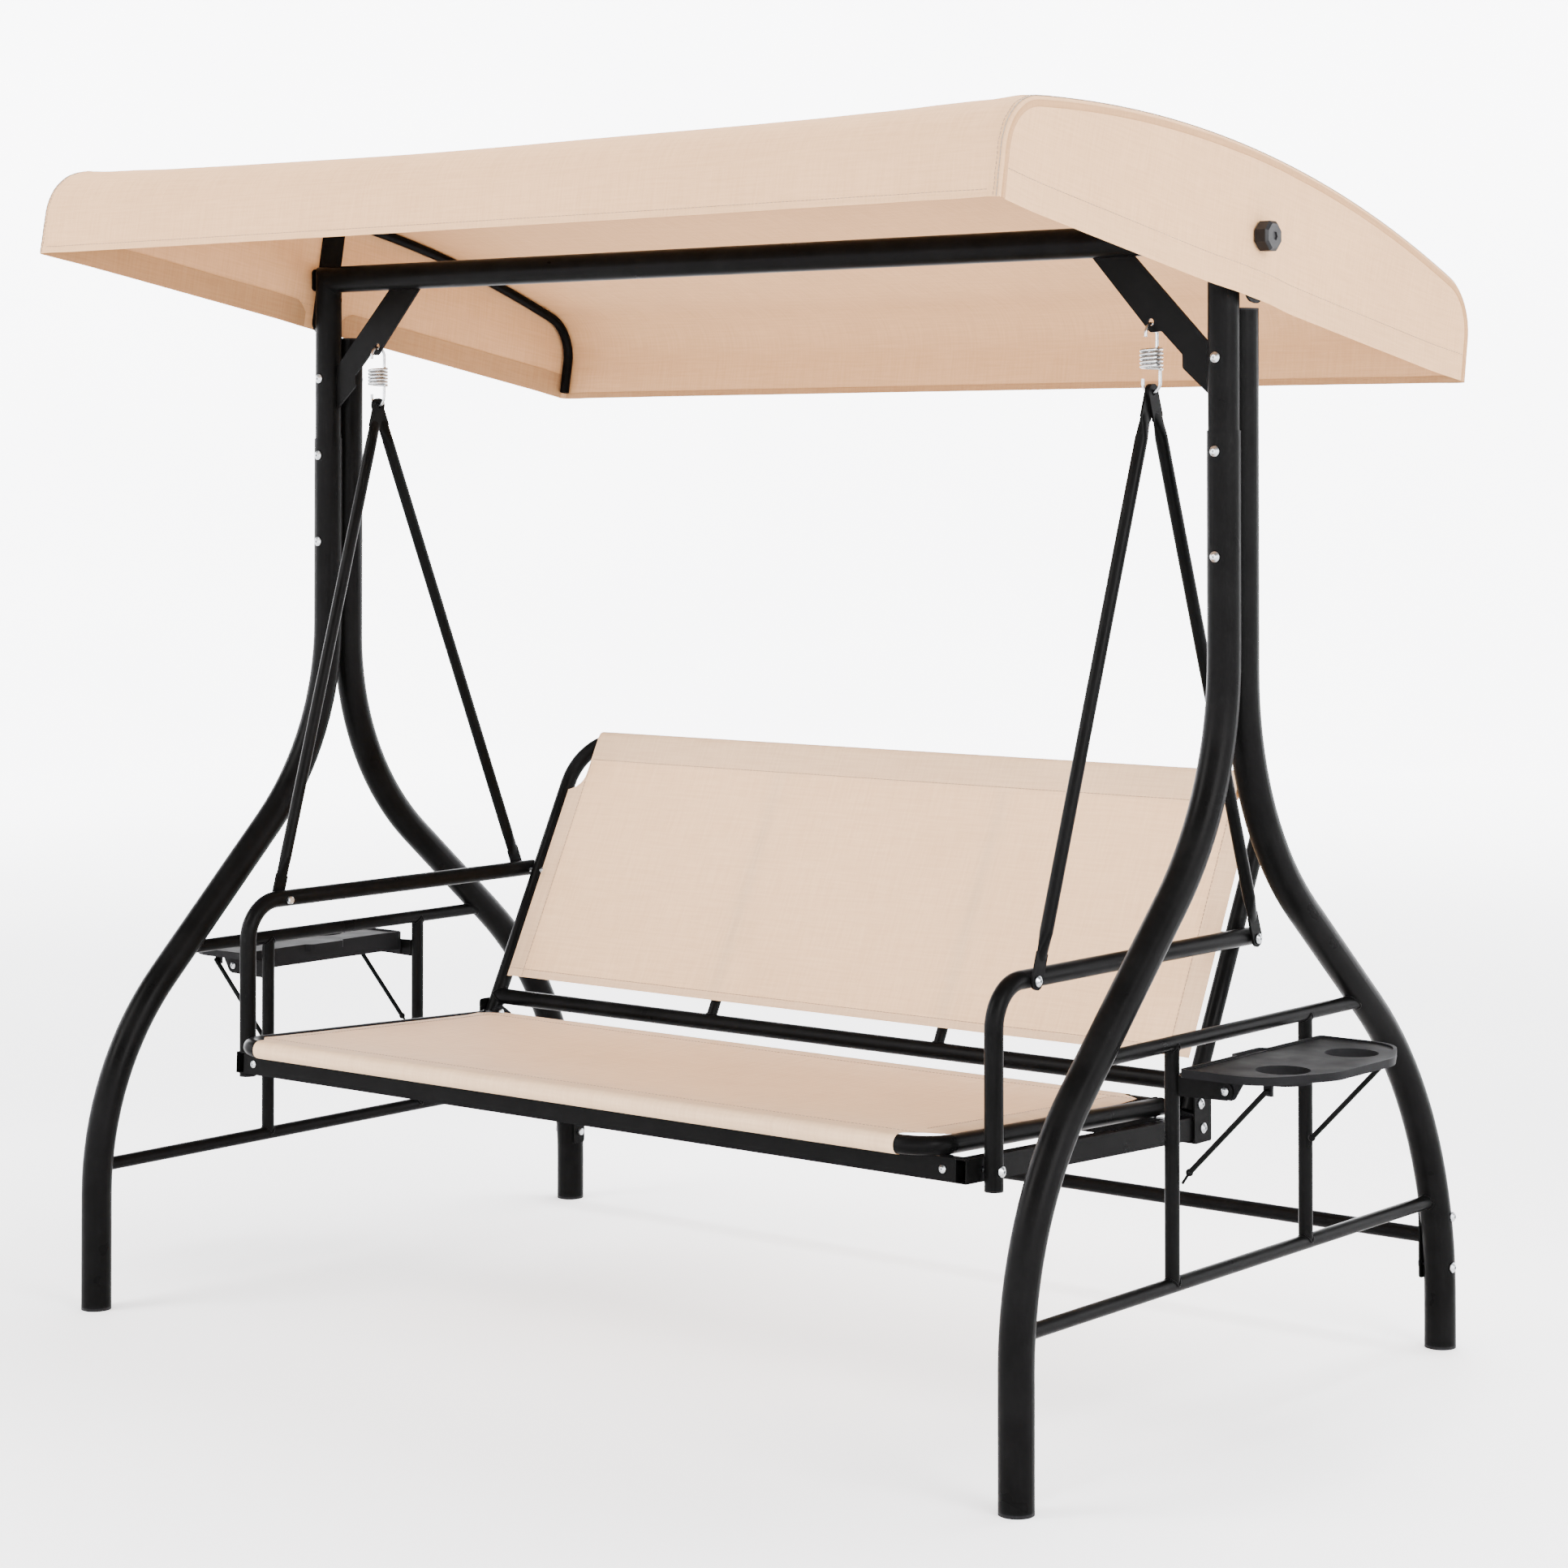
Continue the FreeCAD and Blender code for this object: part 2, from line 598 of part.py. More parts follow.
def make_strip(side_name, side):
    """Flat strip hung from the arch, with the hole that turns on the stud."""
    name = "canopy_strip_" + side_name
    plate = body(name)
    sketch = sketch_on(plate, "YZ_Plane")
    half = size["strip_wide"] / 2
    outline(sketch, [(-half, -100), (half, -100), (half, 122), (-half, 122)], [22, 22, 4, 4])
    pad(plate, sketch, "Sizes.strip_thick")
    hole = sketch_on(plate, "YZ_Plane")
    bound_circle(hole, (0, 0), size["stud_dia"] / 2 + 0.05, "Sizes.stud_dia / 2 + 0.05")
    pocket_through(plate, hole)
    local = Placement(Vector(side * (strip_face() + size["strip_thick"] / 2), 0, 0), Rotation())
    keep(plate, name, CANOPY_PLACE.multiply(local))


def make_cover():
    """Roof, valances and side panels as one thin shell, open underneath."""
    cover = body("canopy_cover")
    corner = size["canopy_corner"]
    crown = size["canopy_crown"]
    hem = -size["canopy_hem"]
    for inset, wide in ((0.0, "2 * Sizes.canopy_half_wide"), (size["fabric"], None)):
        half, eave, ridge = canopy_outline(inset)
        low = hem if inset == 0 else hem - 5
        sketch = sketch_on(cover, "YZ_Plane")
        outline(sketch, [(-half, low), (-half, eave), (0, ridge), (half, eave), (half, low)],
                [0, corner - inset, crown - inset, corner - inset, 0])
        if wide:
            pad(cover, sketch, wide)
            doc.recompute()
        else:
            hollow = cover.newObject("PartDesign::Pocket", "CoverHollow")
            hollow.Profile = sketch
            hollow.SideType = "Symmetric"
            hollow.setExpression("Length", "2 * (Sizes.canopy_half_wide - Sizes.fabric)")
            doc.recompute()
    holes = sketch_on(cover, "YZ_Plane")
    bound_circle(holes, (0, 0), size["stud_dia"] / 2 + 2, "Sizes.stud_dia / 2 + 2")
    pocket_through(cover, holes)
    keep(cover, "canopy_cover", CANOPY_PLACE)


def make_knob(side_name, side):
    """Eight-sided clamping knob, bevelled at both ends and threaded on the stud."""
    name = "knob_" + side_name
    knob = body(name)
    radius = size["knob_dia"] / 2
    deep = size["knob_deep"]
    sketch = sketch_on(knob, "XY_Plane")
    outline(sketch, [(radius * math.cos(math.radians(45 * turn)), radius * math.sin(math.radians(45 * turn)))
                     for turn in range(8)])
    block = pad(knob, sketch, "Sizes.knob_deep", symmetric=False)
    doc.recompute()
    ends = [index + 1 for index, edge in enumerate(knob.Shape.Edges)
            if edge.BoundBox.ZMin > deep - 0.01 or edge.BoundBox.ZMax < 0.01]
    bevel = knob.newObject("PartDesign::Chamfer", "KnobBevel")
    bevel.Base = (block, ["Edge%d" % index for index in ends])
    bevel.Size = 4.0
    doc.recompute()
    bore_radius = size["stud_dia"] / 2 + 0.05
    for height, depth, points in ((0.0, 17.0, None), (deep - 2.0, 4.0, knob_mark())):
        hollow = sketch_on(knob, "XY_Plane", Vector(0, 0, height))
        if points is None:
            bound_circle(hollow, (0, 0), bore_radius, "Sizes.stud_dia / 2 + 0.05")
        else:
            outline(hollow, points)
        doc.recompute()
        before = knob.Shape.Volume
        drilled = knob.newObject("PartDesign::Pocket", "KnobHollow")
        drilled.Profile = hollow
        drilled.Length = depth
        drilled.Reversed = True
        doc.recompute()
        if knob.Shape.Volume >= before:
            raise RuntimeError("a hollow of the knob cut nothing")
    seat = Vector(side * (size["canopy_half_wide"] + 0.6), size["pivot_y"], size["beam_z"])
    turn = Rotation(Y_AXIS, 90 * side).multiply(Rotation(Z_AXIS, 22.5))
    keep(knob, name, Placement(seat, turn))


def knob_mark():
    """Six-sided recess in the knob's outer face."""
    return [(7.0 * math.cos(math.radians(60 * turn)), 7.0 * math.sin(math.radians(60 * turn))) for turn in range(6)]


# ---------------------------------------------------------------- springs and hangers


def make_spring(side_name, side):
    """Coil with its upper hook through the gusset, and the lower hook through the hangers."""
    place = Vector(side * size["spring_x"], size["post_y"], 0)
    radius = size["coil_radius"]
    bends = [0, radius - 0.01, radius - 0.01, 0]
    coil = body("Coil")
    section = sketch_on(coil, "XZ_Plane")
    bound_circle(section, (radius, 0), size["wire_dia"] / 2, "Sizes.wire_dia / 2")
    helix = coil.newObject("PartDesign::AdditiveHelix", "CoilHelix")
    helix.Profile = section
    helix.ReferenceAxis = (section, ["V_Axis"])
    helix.Mode = 0
    helix.setExpression("Pitch", "Sizes.coil_tall / Sizes.coil_turns")
    helix.setExpression("Height", "Sizes.coil_tall")
    coil.Placement = Placement(place + Z_AXIS * size["coil_low"], Rotation(Z_AXIS, 90))

    top = size["coil_low"] + size["coil_tall"]
    rise = size["hook_high_z"] - radius - top
    hook = bent_tube("UpperHook", "YZ_Plane", [(0, 0), (0, rise + radius), (-2 * radius, rise + radius),
                                               (-2 * radius, rise - 4)], bends, "wire_dia", None)
    hook.Placement = Placement(place + Vector(0, radius, top), Rotation())
    spring = doc.addObject("Part::Fuse", "Spring")
    spring.Base = coil
    spring.Tool = hook
    keep(spring, "spring_coil_" + side_name)

    start = Vector(place.x + radius, place.y, size["coil_low"] - size["wire_dia"] / 2 - 0.1)
    fall = start.z - size["hook_low_z"]
    lower = bent_tube("LowerHook", "XZ_Plane", [(0, 0), (0, fall), (-2 * radius, fall), (-2 * radius, 12)], bends,
                      "wire_dia", None)
    keep(lower, "spring_hook_" + side_name, Placement(start, Rotation(X_AXIS, 180)))


def make_hanger(side_name, side, kind):
    """Tube with flattened, drilled ends from the lower hook down to the arm."""
    front = kind == "front"
    name = "hanger_%s_%s" % (kind, side_name)
    flat = size["hanger_flat"]
    offset = flat / 2 + 0.2
    top = Vector(side * (size["spring_x"] + (-offset if front else offset)), size["post_y"], size["hook_low_z"])
    low = Vector(side * (size["arm_x"] + size["seat_tube"] / 2 + 1.4 + flat / 2), hanger_foot_y(kind), HANGER_FOOT_Z)
    run = low - top
    length = run.Length
    flat_long = 30.0
    round_from = 72.0
    tube = doc.addObject("Part::Loft", "HangerTube")
    tube.Sections = [hanger_section(flat_long, True), hanger_section(round_from, False),
                     hanger_section(length - round_from, False), hanger_section(length - flat_long, True)]
    tube.Solid = True
    tube.Ruled = True
    bore = rod("HangerBore", "Sizes.hanger_dia / 2 - Sizes.hanger_wall", Z_AXIS * round_from,
               Z_AXIS * (length - round_from))
    half = size["hanger_wide"] / 2 - 0.5
    tabs = []
    for low_z, high_z, radii in ((-13, flat_long + 12, [12, 12, 0, 0]),
                                 (length - flat_long - 12, length + 13, [0, 0, 12, 12])):
        tab = body("HangerTab")
        sketch = sketch_on(tab, "YZ_Plane")
        outline(sketch, [(-half, low_z), (half, low_z), (half, high_z), (-half, high_z)], radii)
        pad(tab, sketch, "Sizes.hanger_flat")
        tabs.append(tab)
    blank = doc.addObject("Part::MultiFuse", "HangerBlank")
    blank.Shapes = [cut("HangerShell", tube, [bore])] + tabs
    hook_hole = rod("HookHole", "Sizes.wire_dia / 2 + 2", X_AXIS * -20, X_AXIS * 20)
    bolt_hole = rod("BoltHole", "Sizes.bolt_dia / 2 + 0.1", Vector(-20, 0, length), Vector(20, 0, length))
    drilled = cut(name, blank, [hook_hole, bolt_hole])
    down = run.normalize()
    across = (X_AXIS - down * X_AXIS.dot(down)).normalize()
    keep(drilled, name, Placement(top, Rotation(across, down.cross(across), down, "ZXY")))


def hanger_section(height, flattened):
    """Cross section of a hanger tube, round or pressed flat."""
    ring = doc.addObject("Part::Ellipse", "HangerSection")
    ring.setExpression("MajorRadius", "Sizes.hanger_wide / 2" if flattened else "Sizes.hanger_dia / 2 + 0.01")
    ring.setExpression("MinorRadius", "Sizes.hanger_flat / 2" if flattened else "Sizes.hanger_dia / 2")
    ring.Placement = Placement(Z_AXIS * height, Rotation(Z_AXIS, 90))
    return ring


HANGER_FOOT_Z = 679.0


def hanger_foot_y(kind):
    """Where a hanger is bolted to the arm."""
    return -293.0 if kind == "front" else 316.0


# ---------------------------------------------------------------- seat


def seat_point(x, along, up=0.0):
    """A point of the seat frame: x, distance behind the front tube, height over it."""
    return SEAT_PLACE.multVec(Vector(x, along, up))


def bar_centre():
    """Height of the rectangular bars' centre below the seat tubes."""
    return -(size["seat_tube"] / 2 + BAR_GAP + size["bar_tall"] / 2)


BAR_GAP = 1.8
FRONT_BAR_Y = 46.0
FRONT_BOLT_X = 720.0
CLEAT_THICK = 2.5


def make_seat_tubes():
    """Bent tube round the front and sides of the seat, and the rear tube between its ends."""
    x = size["seat_x"]
    deep = size["seat_deep"]
    bend = size["seat_bend"]
    tube = bent_tube("seat_loop", "XZ_Plane", [(0, 0), (0, deep), (2 * x, deep), (2 * x, 0)], [0, bend, bend, 0],
                     "seat_tube", "seat_wall")
    lay = Placement(Vector(-x, deep, 0), Rotation(X_AXIS, 90))
    keep(tube, "seat_loop", SEAT_PLACE.multiply(lay))
    ends = [rod("LoopEnd", "Sizes.seat_tube / 2", seat_point(side * x, deep - 40), seat_point(side * x, deep + 1))
            for side in (1, -1)]
    rear = straight_tube("SeatRear", "seat_tube", "seat_wall", seat_point(-x, deep - 14), seat_point(x, deep - 14),
                         ends)
    keep(rear, "seat_rear_tube")


def rectangular_bar(name, start_x, start_y, long_axis, length):
    """Hollow rectangular bar lying in the seat frame, under the tubes."""
    along_x = long_axis == "x"
    shells = []
    for wall in (0.0, size["bar_wall"]):
        box = doc.addObject("Part::Box", name + ("Outer" if wall == 0 else "Bore"))
        across = size["bar_wide"] - 2 * wall
        box.Length = length if along_x else across
        box.Width = across if along_x else length
        box.setExpression("Height", "Sizes.bar_tall - %g" % (2 * wall))
        corner = Vector(start_x, start_y - across / 2, 0) if along_x else Vector(start_x - across / 2, start_y, 0)
        corner.z = bar_centre() - size["bar_tall"] / 2 + wall
        box.Placement = SEAT_PLACE.multiply(Placement(corner, Rotation()))
        shells.append(box)
    return cut(name, shells[0], [shells[1]])


def make_seat_bars():
    """Front, rear and two side bars under the seat tubes, bolted into a flat frame."""
    wide = size["bar_wide"]
    inner = size["bar_x"] - wide / 2 - 0.1
    bar_drills = []
    for side in (1, -1):
        foot = front_bar_bolt_seat(side, -10)
        inside = front_bar_bolt_seat(side, wide + 20)
        bar_drills.append(rod("BarDrill", "Sizes.small_bolt / 2 + 0.1", foot, inside))
    front = cut("FrontBar", rectangular_bar("FrontBar", -inner, FRONT_BAR_Y, "x", 2 * inner), bar_drills)
    keep(with_pads(front, FRONT_BAR_Y, size["seat_x"] - 1), "seat_front_bar")
    rear_y = size["seat_deep"] - 14
    rear = rectangular_bar("RearBar", -inner, rear_y, "x", 2 * inner)
    keep(with_pads(rear, rear_y, 681.0), "seat_rear_bar")
    start = FRONT_BAR_Y - wide / 2
    for side_name, side in SIDES:
        name = "seat_side_bar_" + side_name
        blank = doc.addObject("Part::MultiFuse", "SideBarBlank")
        blank.Shapes = [rectangular_bar("SideBar", side * size["bar_x"], start, "y", size["bar_rear"] - start),
                        *cleat(side)]
        drills = [rod("ArmDrill", "Sizes.bolt_dia / 2 + 0.1", arm_bolt_seat(side) + X_AXIS * side * 5,
                      arm_bolt_seat(side) - X_AXIS * side * 80),
                  rod("CheekDrill", "Sizes.bolt_dia / 2 + 0.1", hinge_bolt(side, "low") + X_AXIS * side * 5,
                      hinge_bolt(side, "low") - X_AXIS * side * 80),
                  bar_drills[0 if side > 0 else 1]]
        keep(cut(name, blank, drills), name)


def front_bar_bolt_seat(side, along=0.0):
    """Seat of the bolt that holds the front bar to a side bar's cleat, or a point that far behind it."""
    return seat_point(side * FRONT_BOLT_X, FRONT_BAR_Y - size["bar_wide"] / 2 + along, bar_centre())


def cleat(side):
    """Both legs of the small angle welded to a side bar, behind the end of the front bar."""
    face = size["bar_x"] - size["bar_wide"] / 2
    back = FRONT_BAR_Y + size["bar_wide"] / 2 + 0.1
    legs = []
    for low_x, high_x, low_y, high_y in ((face - 34, face + 0.1, back, back + CLEAT_THICK),
                                         (face - CLEAT_THICK, face + 0.1, back, back + 8)):
        leg = doc.addObject("Part::Box", "CleatLeg")
        leg.Length = high_x - low_x
        leg.Width = high_y - low_y
        leg.Height = 26.0
        corner = Vector(low_x if side > 0 else -high_x, low_y, bar_centre() - 13)
        leg.Placement = SEAT_PLACE.multiply(Placement(corner, Rotation()))
        legs.append(leg)
    return legs


def with_pads(bar, along, across):
    """Bar with the two small pads that stand it off the tube above it."""
    pieces = [bar]
    for side in (1, -1):
        block = doc.addObject("Part::Box", "BarPad")
        block.Length = 16.0
        block.Width = 12.0
        block.Height = BAR_GAP + 0.9
        corner = Vector(side * across - 8, along - 6, -size["seat_tube"] / 2 - BAR_GAP - 1)
        block.Placement = SEAT_PLACE.multiply(Placement(corner, Rotation()))
        pieces.append(block)
    padded = doc.addObject("Part::MultiFuse", "PaddedBar")
    padded.Shapes = pieces
    return padded


def arm_bolt_seat(side):
    """Seat of the bolt that holds an arm's foot to the side bar."""
    height = seat_point(0, size["arm_y"] - size["seat_front_y"], bar_centre()).z
    return Vector(side * (size["arm_x"] + size["seat_tube"] / 2), size["arm_y"], height)


def hanger_bolt_seat(side, kind):
    """Seat of the bolt that holds a hanger to an arm."""
    x = size["arm_x"] + size["seat_tube"] / 2 + 1.4 + size["hanger_flat"] + 0.6
    return Vector(side * x, hanger_foot_y(kind), HANGER_FOOT_Z)


CHEEK_THICK = 2.5


def hinge_bolt(side, level):
    """Seat of a backrest bracket bolt on the outer cheek."""
    x = side * (size["back_x"] + size["seat_tube"] / 2 + 0.3 + CHEEK_THICK)
    if level == "high":
        point = BACK_PLACE.multVec(Vector(0, 0, -size["back_foot"] + 14))
        return Vector(x, point.y, point.z)
    height = seat_point(0, 205.0 - size["seat_front_y"], bar_centre()).z
    return Vector(x, 205.0, height)


def make_arm(side_name, side):
    """Arm bent from one tube: foot beside the side bar, rest running back to the backrest."""
    rise = size["arm_high"] - size["arm_low"]
    tube = bent_tube("Arm", "YZ_Plane", [(0, 0), (0, rise), (size["arm_rear"] - size["arm_y"], rise)],
                     [0, size["arm_bend"], 0], "seat_tube", "seat_wall")
    tube.Placement = Placement(Vector(side * size["arm_x"], size["arm_y"], size["arm_low"]), Rotation())
    seats = [arm_bolt_seat(side), hanger_bolt_seat(side, "front"), hanger_bolt_seat(side, "rear")]
    drills = [rod("ArmHole", "Sizes.bolt_dia / 2 + 0.1", seat + X_AXIS * side * 5, seat - X_AXIS * side * 60)
              for seat in seats]
    name = "arm_" + side_name
    keep(cut(name, tube, drills), name)


def make_arm_caps():
    """Moulded plugs in the open ends of both arms."""
    caps = []
    for side in (1, -1):
        low = Vector(side * size["arm_x"], size["arm_y"], size["arm_low"])
        rear = Vector(side * size["arm_x"], size["arm_rear"], size["arm_high"])
        for seat, inward in ((low, Z_AXIS), (rear, Y_AXIS * -1)):
            disc = rod("ArmDisc", "Sizes.seat_tube / 2", seat - inward * 2.5, seat)
            plug = rod("ArmPlug", "Sizes.seat_tube / 2 - Sizes.seat_wall - 0.1", seat, seat + inward * 8)
            cap = doc.addObject("Part::Fuse", "ArmCap")
            cap.Base = disc
            cap.Tool = plug
            caps.append(cap)
    keep(group("arm_caps", caps), "arm_caps")


def make_seat_sling():
    """Woven seat: a top run from the front tube to the rear tube, wrapped round both."""
    skin = size["sling"]
    inner = size["seat_tube"] / 2 + 0.3
    outer = inner + skin
    rear = size["seat_deep"] - 14
    half_wrap = size["seat_x"] - size["seat_bend"] + 3
    run = doc.addObject("Part::Box", "SlingRun")
    run.Length = 2 * (size["seat_x"] - 16)
    run.Width = rear
    run.setExpression("Height", "Sizes.sling")
    run.Placement = SEAT_PLACE.multiply(Placement(Vector(-run.Length.Value / 2, 0, inner), Rotation()))
    pieces = [run]
    for centre, sign in ((0, -1), (rear, 1)):
        start = seat_point(-half_wrap, centre)
        end = seat_point(half_wrap, centre)
        shell = cut("SlingWrap", rod("WrapOuter", str(outer), start, end), [rod("WrapInner", str(inner), start, end)])
        half = doc.addObject("Part::Box", "WrapHalf")
        half.Length = 2 * half_wrap + 10
        half.Width = 2 * outer
        half.Height = 2 * outer + 2
        corner = Vector(-half_wrap - 5, centre if sign < 0 else centre - 2 * outer, -outer - 1)
        half.Placement = SEAT_PLACE.multiply(Placement(corner, Rotation()))
        pieces.append(cut("SlingRound", shell, [half]))
    sling = doc.addObject("Part::MultiFuse", "SeatSling")
    sling.Shapes = pieces
    keep(sling, "seat_sling")


# ---------------------------------------------------------------- backrest


def make_back_frame():
    """U-bent backrest tube, its lower cross tube and two stays behind the sling."""
    x = size["back_x"]
    tall = size["back_tall"]
    foot = size["back_foot"]
    bend = size["back_bend"]
    frame = bent_tube("BackFrame", "XZ_Plane", [(0, 0), (0, tall + foot), (2 * x, tall + foot), (2 * x, 0)],
                      [0, bend, bend, 0], "seat_tube", "seat_wall")
    frame.Placement = BACK_PLACE.multiply(Placement(Vector(-x, 0, -foot), Rotation()))
    drills = []
    for side in (1, -1):
        for seat in (hinge_bolt(side, "high"), hanger_bolt_seat(side, "rear")):
            drills.append(rod("BackHole", "Sizes.bolt_dia / 2 + 0.1", seat + X_AXIS * side * 5,
                              seat - X_AXIS * side * 90))
    keep(cut("BackFrameDrilled", frame, drills), "back_frame")
    sides = []
    for side in (1, -1):
        sides.append(rod("BackSide", "Sizes.seat_tube / 2", BACK_PLACE.multVec(Vector(side * x, 0, -foot)),
                         BACK_PLACE.multVec(Vector(side * x, 0, tall - bend))))
    lower_ends = [BACK_PLACE.multVec(Vector(end * x, 0, 0)) for end in (-1, 1)]
    keep(straight_tube("BackLower", "seat_tube", "seat_wall", lower_ends[0], lower_ends[1], sides),
         "back_lower_tube")
    lower = rod("BackLowerShape", "Sizes.seat_tube / 2", lower_ends[0], lower_ends[1])
    upper = rod("BackUpperShape", "Sizes.seat_tube / 2", BACK_PLACE.multVec(Vector(-x, 0, tall)),
                BACK_PLACE.multVec(Vector(x, 0, tall)))
    stays = []
    for side in (1, -1):
        place = side * size["stay_x"]
        stays.append(straight_tube("Stay", "stay_dia", "rail_wall", BACK_PLACE.multVec(Vector(place, 0, 0)),
                                   BACK_PLACE.multVec(Vector(place, 0, tall)), [lower, upper]))
    keep(group("back_stays", stays), "back_stays")


def make_back_sling():
    """Woven back: one panel in front of the stays, wrapped over the top tube."""
    inner = size["seat_tube"] / 2 + 0.3
    outer = inner + size["sling"]
    tall = size["back_tall"]
    half_top = size["back_x"] - 52
    half = size["back_x"] - 17
    notch = tall - size["back_bend"] - 6
    panel = body("BackPanel")
    sketch = sketch_on(panel, "XZ_Plane")
    outline(sketch, [(-half, 36), (half, 36), (half, notch), (half_top, notch), (half_top, tall), (-half_top, tall),
                     (-half_top, notch), (-half, notch)], [4, 4, 4, 30, 0, 0, 30, 4])
    pad(panel, sketch, "Sizes.sling")
    panel.Placement = BACK_PLACE.multiply(Placement(Vector(0, -inner - size["sling"] / 2, 0), Rotation()))
    start = BACK_PLACE.multVec(Vector(-half_top, 0, tall))
    end = BACK_PLACE.multVec(Vector(half_top, 0, tall))
    shell = cut("BackWrap", rod("BackWrapOuter", str(outer), start, end), [rod("BackWrapInner", str(inner), start, end)])
    below = doc.addObject("Part::Box", "BackWrapBelow")
    below.Length = 2 * half_top + 10
    below.Width = 2 * outer + 2
    below.Height = 2 * outer
    corner = Vector(-half_top - 5, -outer - 1, tall - 2 * outer)
    below.Placement = BACK_PLACE.multiply(Placement(corner, Rotation()))
    sling = doc.addObject("Part::MultiFuse", "BackSling")
    sling.Shapes = [panel, cut("BackRound", shell, [below])]
    keep(sling, "back_sling")


def make_hinge_brackets():
    """Channel brackets: two cheeks and a web that join the backrest to the side bars."""
    brackets = []
    inner = size["seat_tube"] / 2 + 0.3
    low = hinge_bolt(1, "low")
    high = hinge_bolt(1, "high")
    web_top = low.z - size["bar_tall"] / 2 - 2.5
    for side in (1, -1):
        cheeks = []
        for hand in (-1, 1):
            cheek = body("Cheek")
            sketch = sketch_on(cheek, "YZ_Plane")
            tip = high.z + (24 if hand == side else 12)
            outline(sketch, [(low.y - 24, web_top - CHEEK_THICK), (low.y + 24, web_top - CHEEK_THICK),
                             (low.y + 24, tip - 16), (high.y + 8, tip), (high.y - 18, tip)], [3, 3, 6, 8, 6])
            pad(cheek, sketch, str(CHEEK_THICK))
            x = side * size["back_x"] + hand * (inner + CHEEK_THICK / 2)
            cheek.Placement = Placement(Vector(x, 0, 0), Rotation())
            cheeks.append(cheek)
        web = doc.addObject("Part::Box", "BracketWeb")
        web.Length = 2 * inner + 2
        web.Width = 42.0
        web.Height = CHEEK_THICK
        web.Placement = Placement(Vector(side * size["back_x"] - inner - 1, low.y - 21, web_top - CHEEK_THICK),
                                  Rotation())
        channel = doc.addObject("Part::MultiFuse", "Bracket")
        channel.Shapes = cheeks + [web]
        drills = [rod("CheekHole", "Sizes.bolt_dia / 2 + 0.1", hinge_bolt(side, level) + X_AXIS * side * 5,
                      hinge_bolt(side, level) - X_AXIS * side * 90) for level in ("low", "high")]
        brackets.append(cut("BracketDrilled", channel, drills))
    keep(group("hinge_brackets", brackets), "hinge_brackets")


def make_seat_fasteners():
    """Bolts of the hangers, backrest brackets, arm feet and front bar."""
    arm = size["seat_tube"]
    runs = []
    for kind, far_face in (("front", size["arm_x"] - arm / 2), ("rear", size["back_x"] - arm / 2)):
        seats = [(hanger_bolt_seat(side, kind), X_AXIS * -side) for side in (1, -1)]
        runs.append((bolt("HangerBolt", hanger_bolt_seat(1, kind).x - far_face), seats))
    fastener_group("hanger_bolts", runs)
    seats = [(hinge_bolt(side, level), X_AXIS * -side) for side in (1, -1) for level in ("low", "high")]
    fastener_group("bracket_bolts", [(bolt("CheekBolt", arm + 0.6 + 2 * CHEEK_THICK), seats)])
    reach = arm_bolt_seat(1).x - (size["bar_x"] - size["bar_wide"] / 2)
    seats = [(arm_bolt_seat(side), X_AXIS * -side) for side in (1, -1)]
    fastener_group("arm_foot_bolts", [(bolt("ArmFootBolt", reach), seats)])
    back = seat_point(0, 1, 0) - seat_point(0, 0, 0)
    seats = [(front_bar_bolt_seat(side), back) for side in (1, -1)]
    bar_bolt = bolt("FrontBarBolt", size["bar_wide"] + 0.1 + CLEAT_THICK, "small_bolt", "small_head", head_tall=3.5,
                    nut_tall=4.5)
    fastener_group("front_bar_bolts", [(bar_bolt, seats)])


# ---------------------------------------------------------------- side trays


def tray_point(side, x, y, z):
    return Vector(side * x, y, z)


def tray_outline(half, outer, inner):
    """D shape seen from above, with the small lip in the middle of its inner edge."""
    lip = 12.0
    return ([(inner + lip, -half), (outer - 60, -half), (outer, -0.42 * half), (outer, 0.42 * half),
             (outer - 60, half), (inner + lip, half), (inner + lip, 45), (inner, 38), (inner, -38),
             (inner + lip, -45)],
            [8, 70, 80, 80, 70, 8, 4, 8, 8, 4])


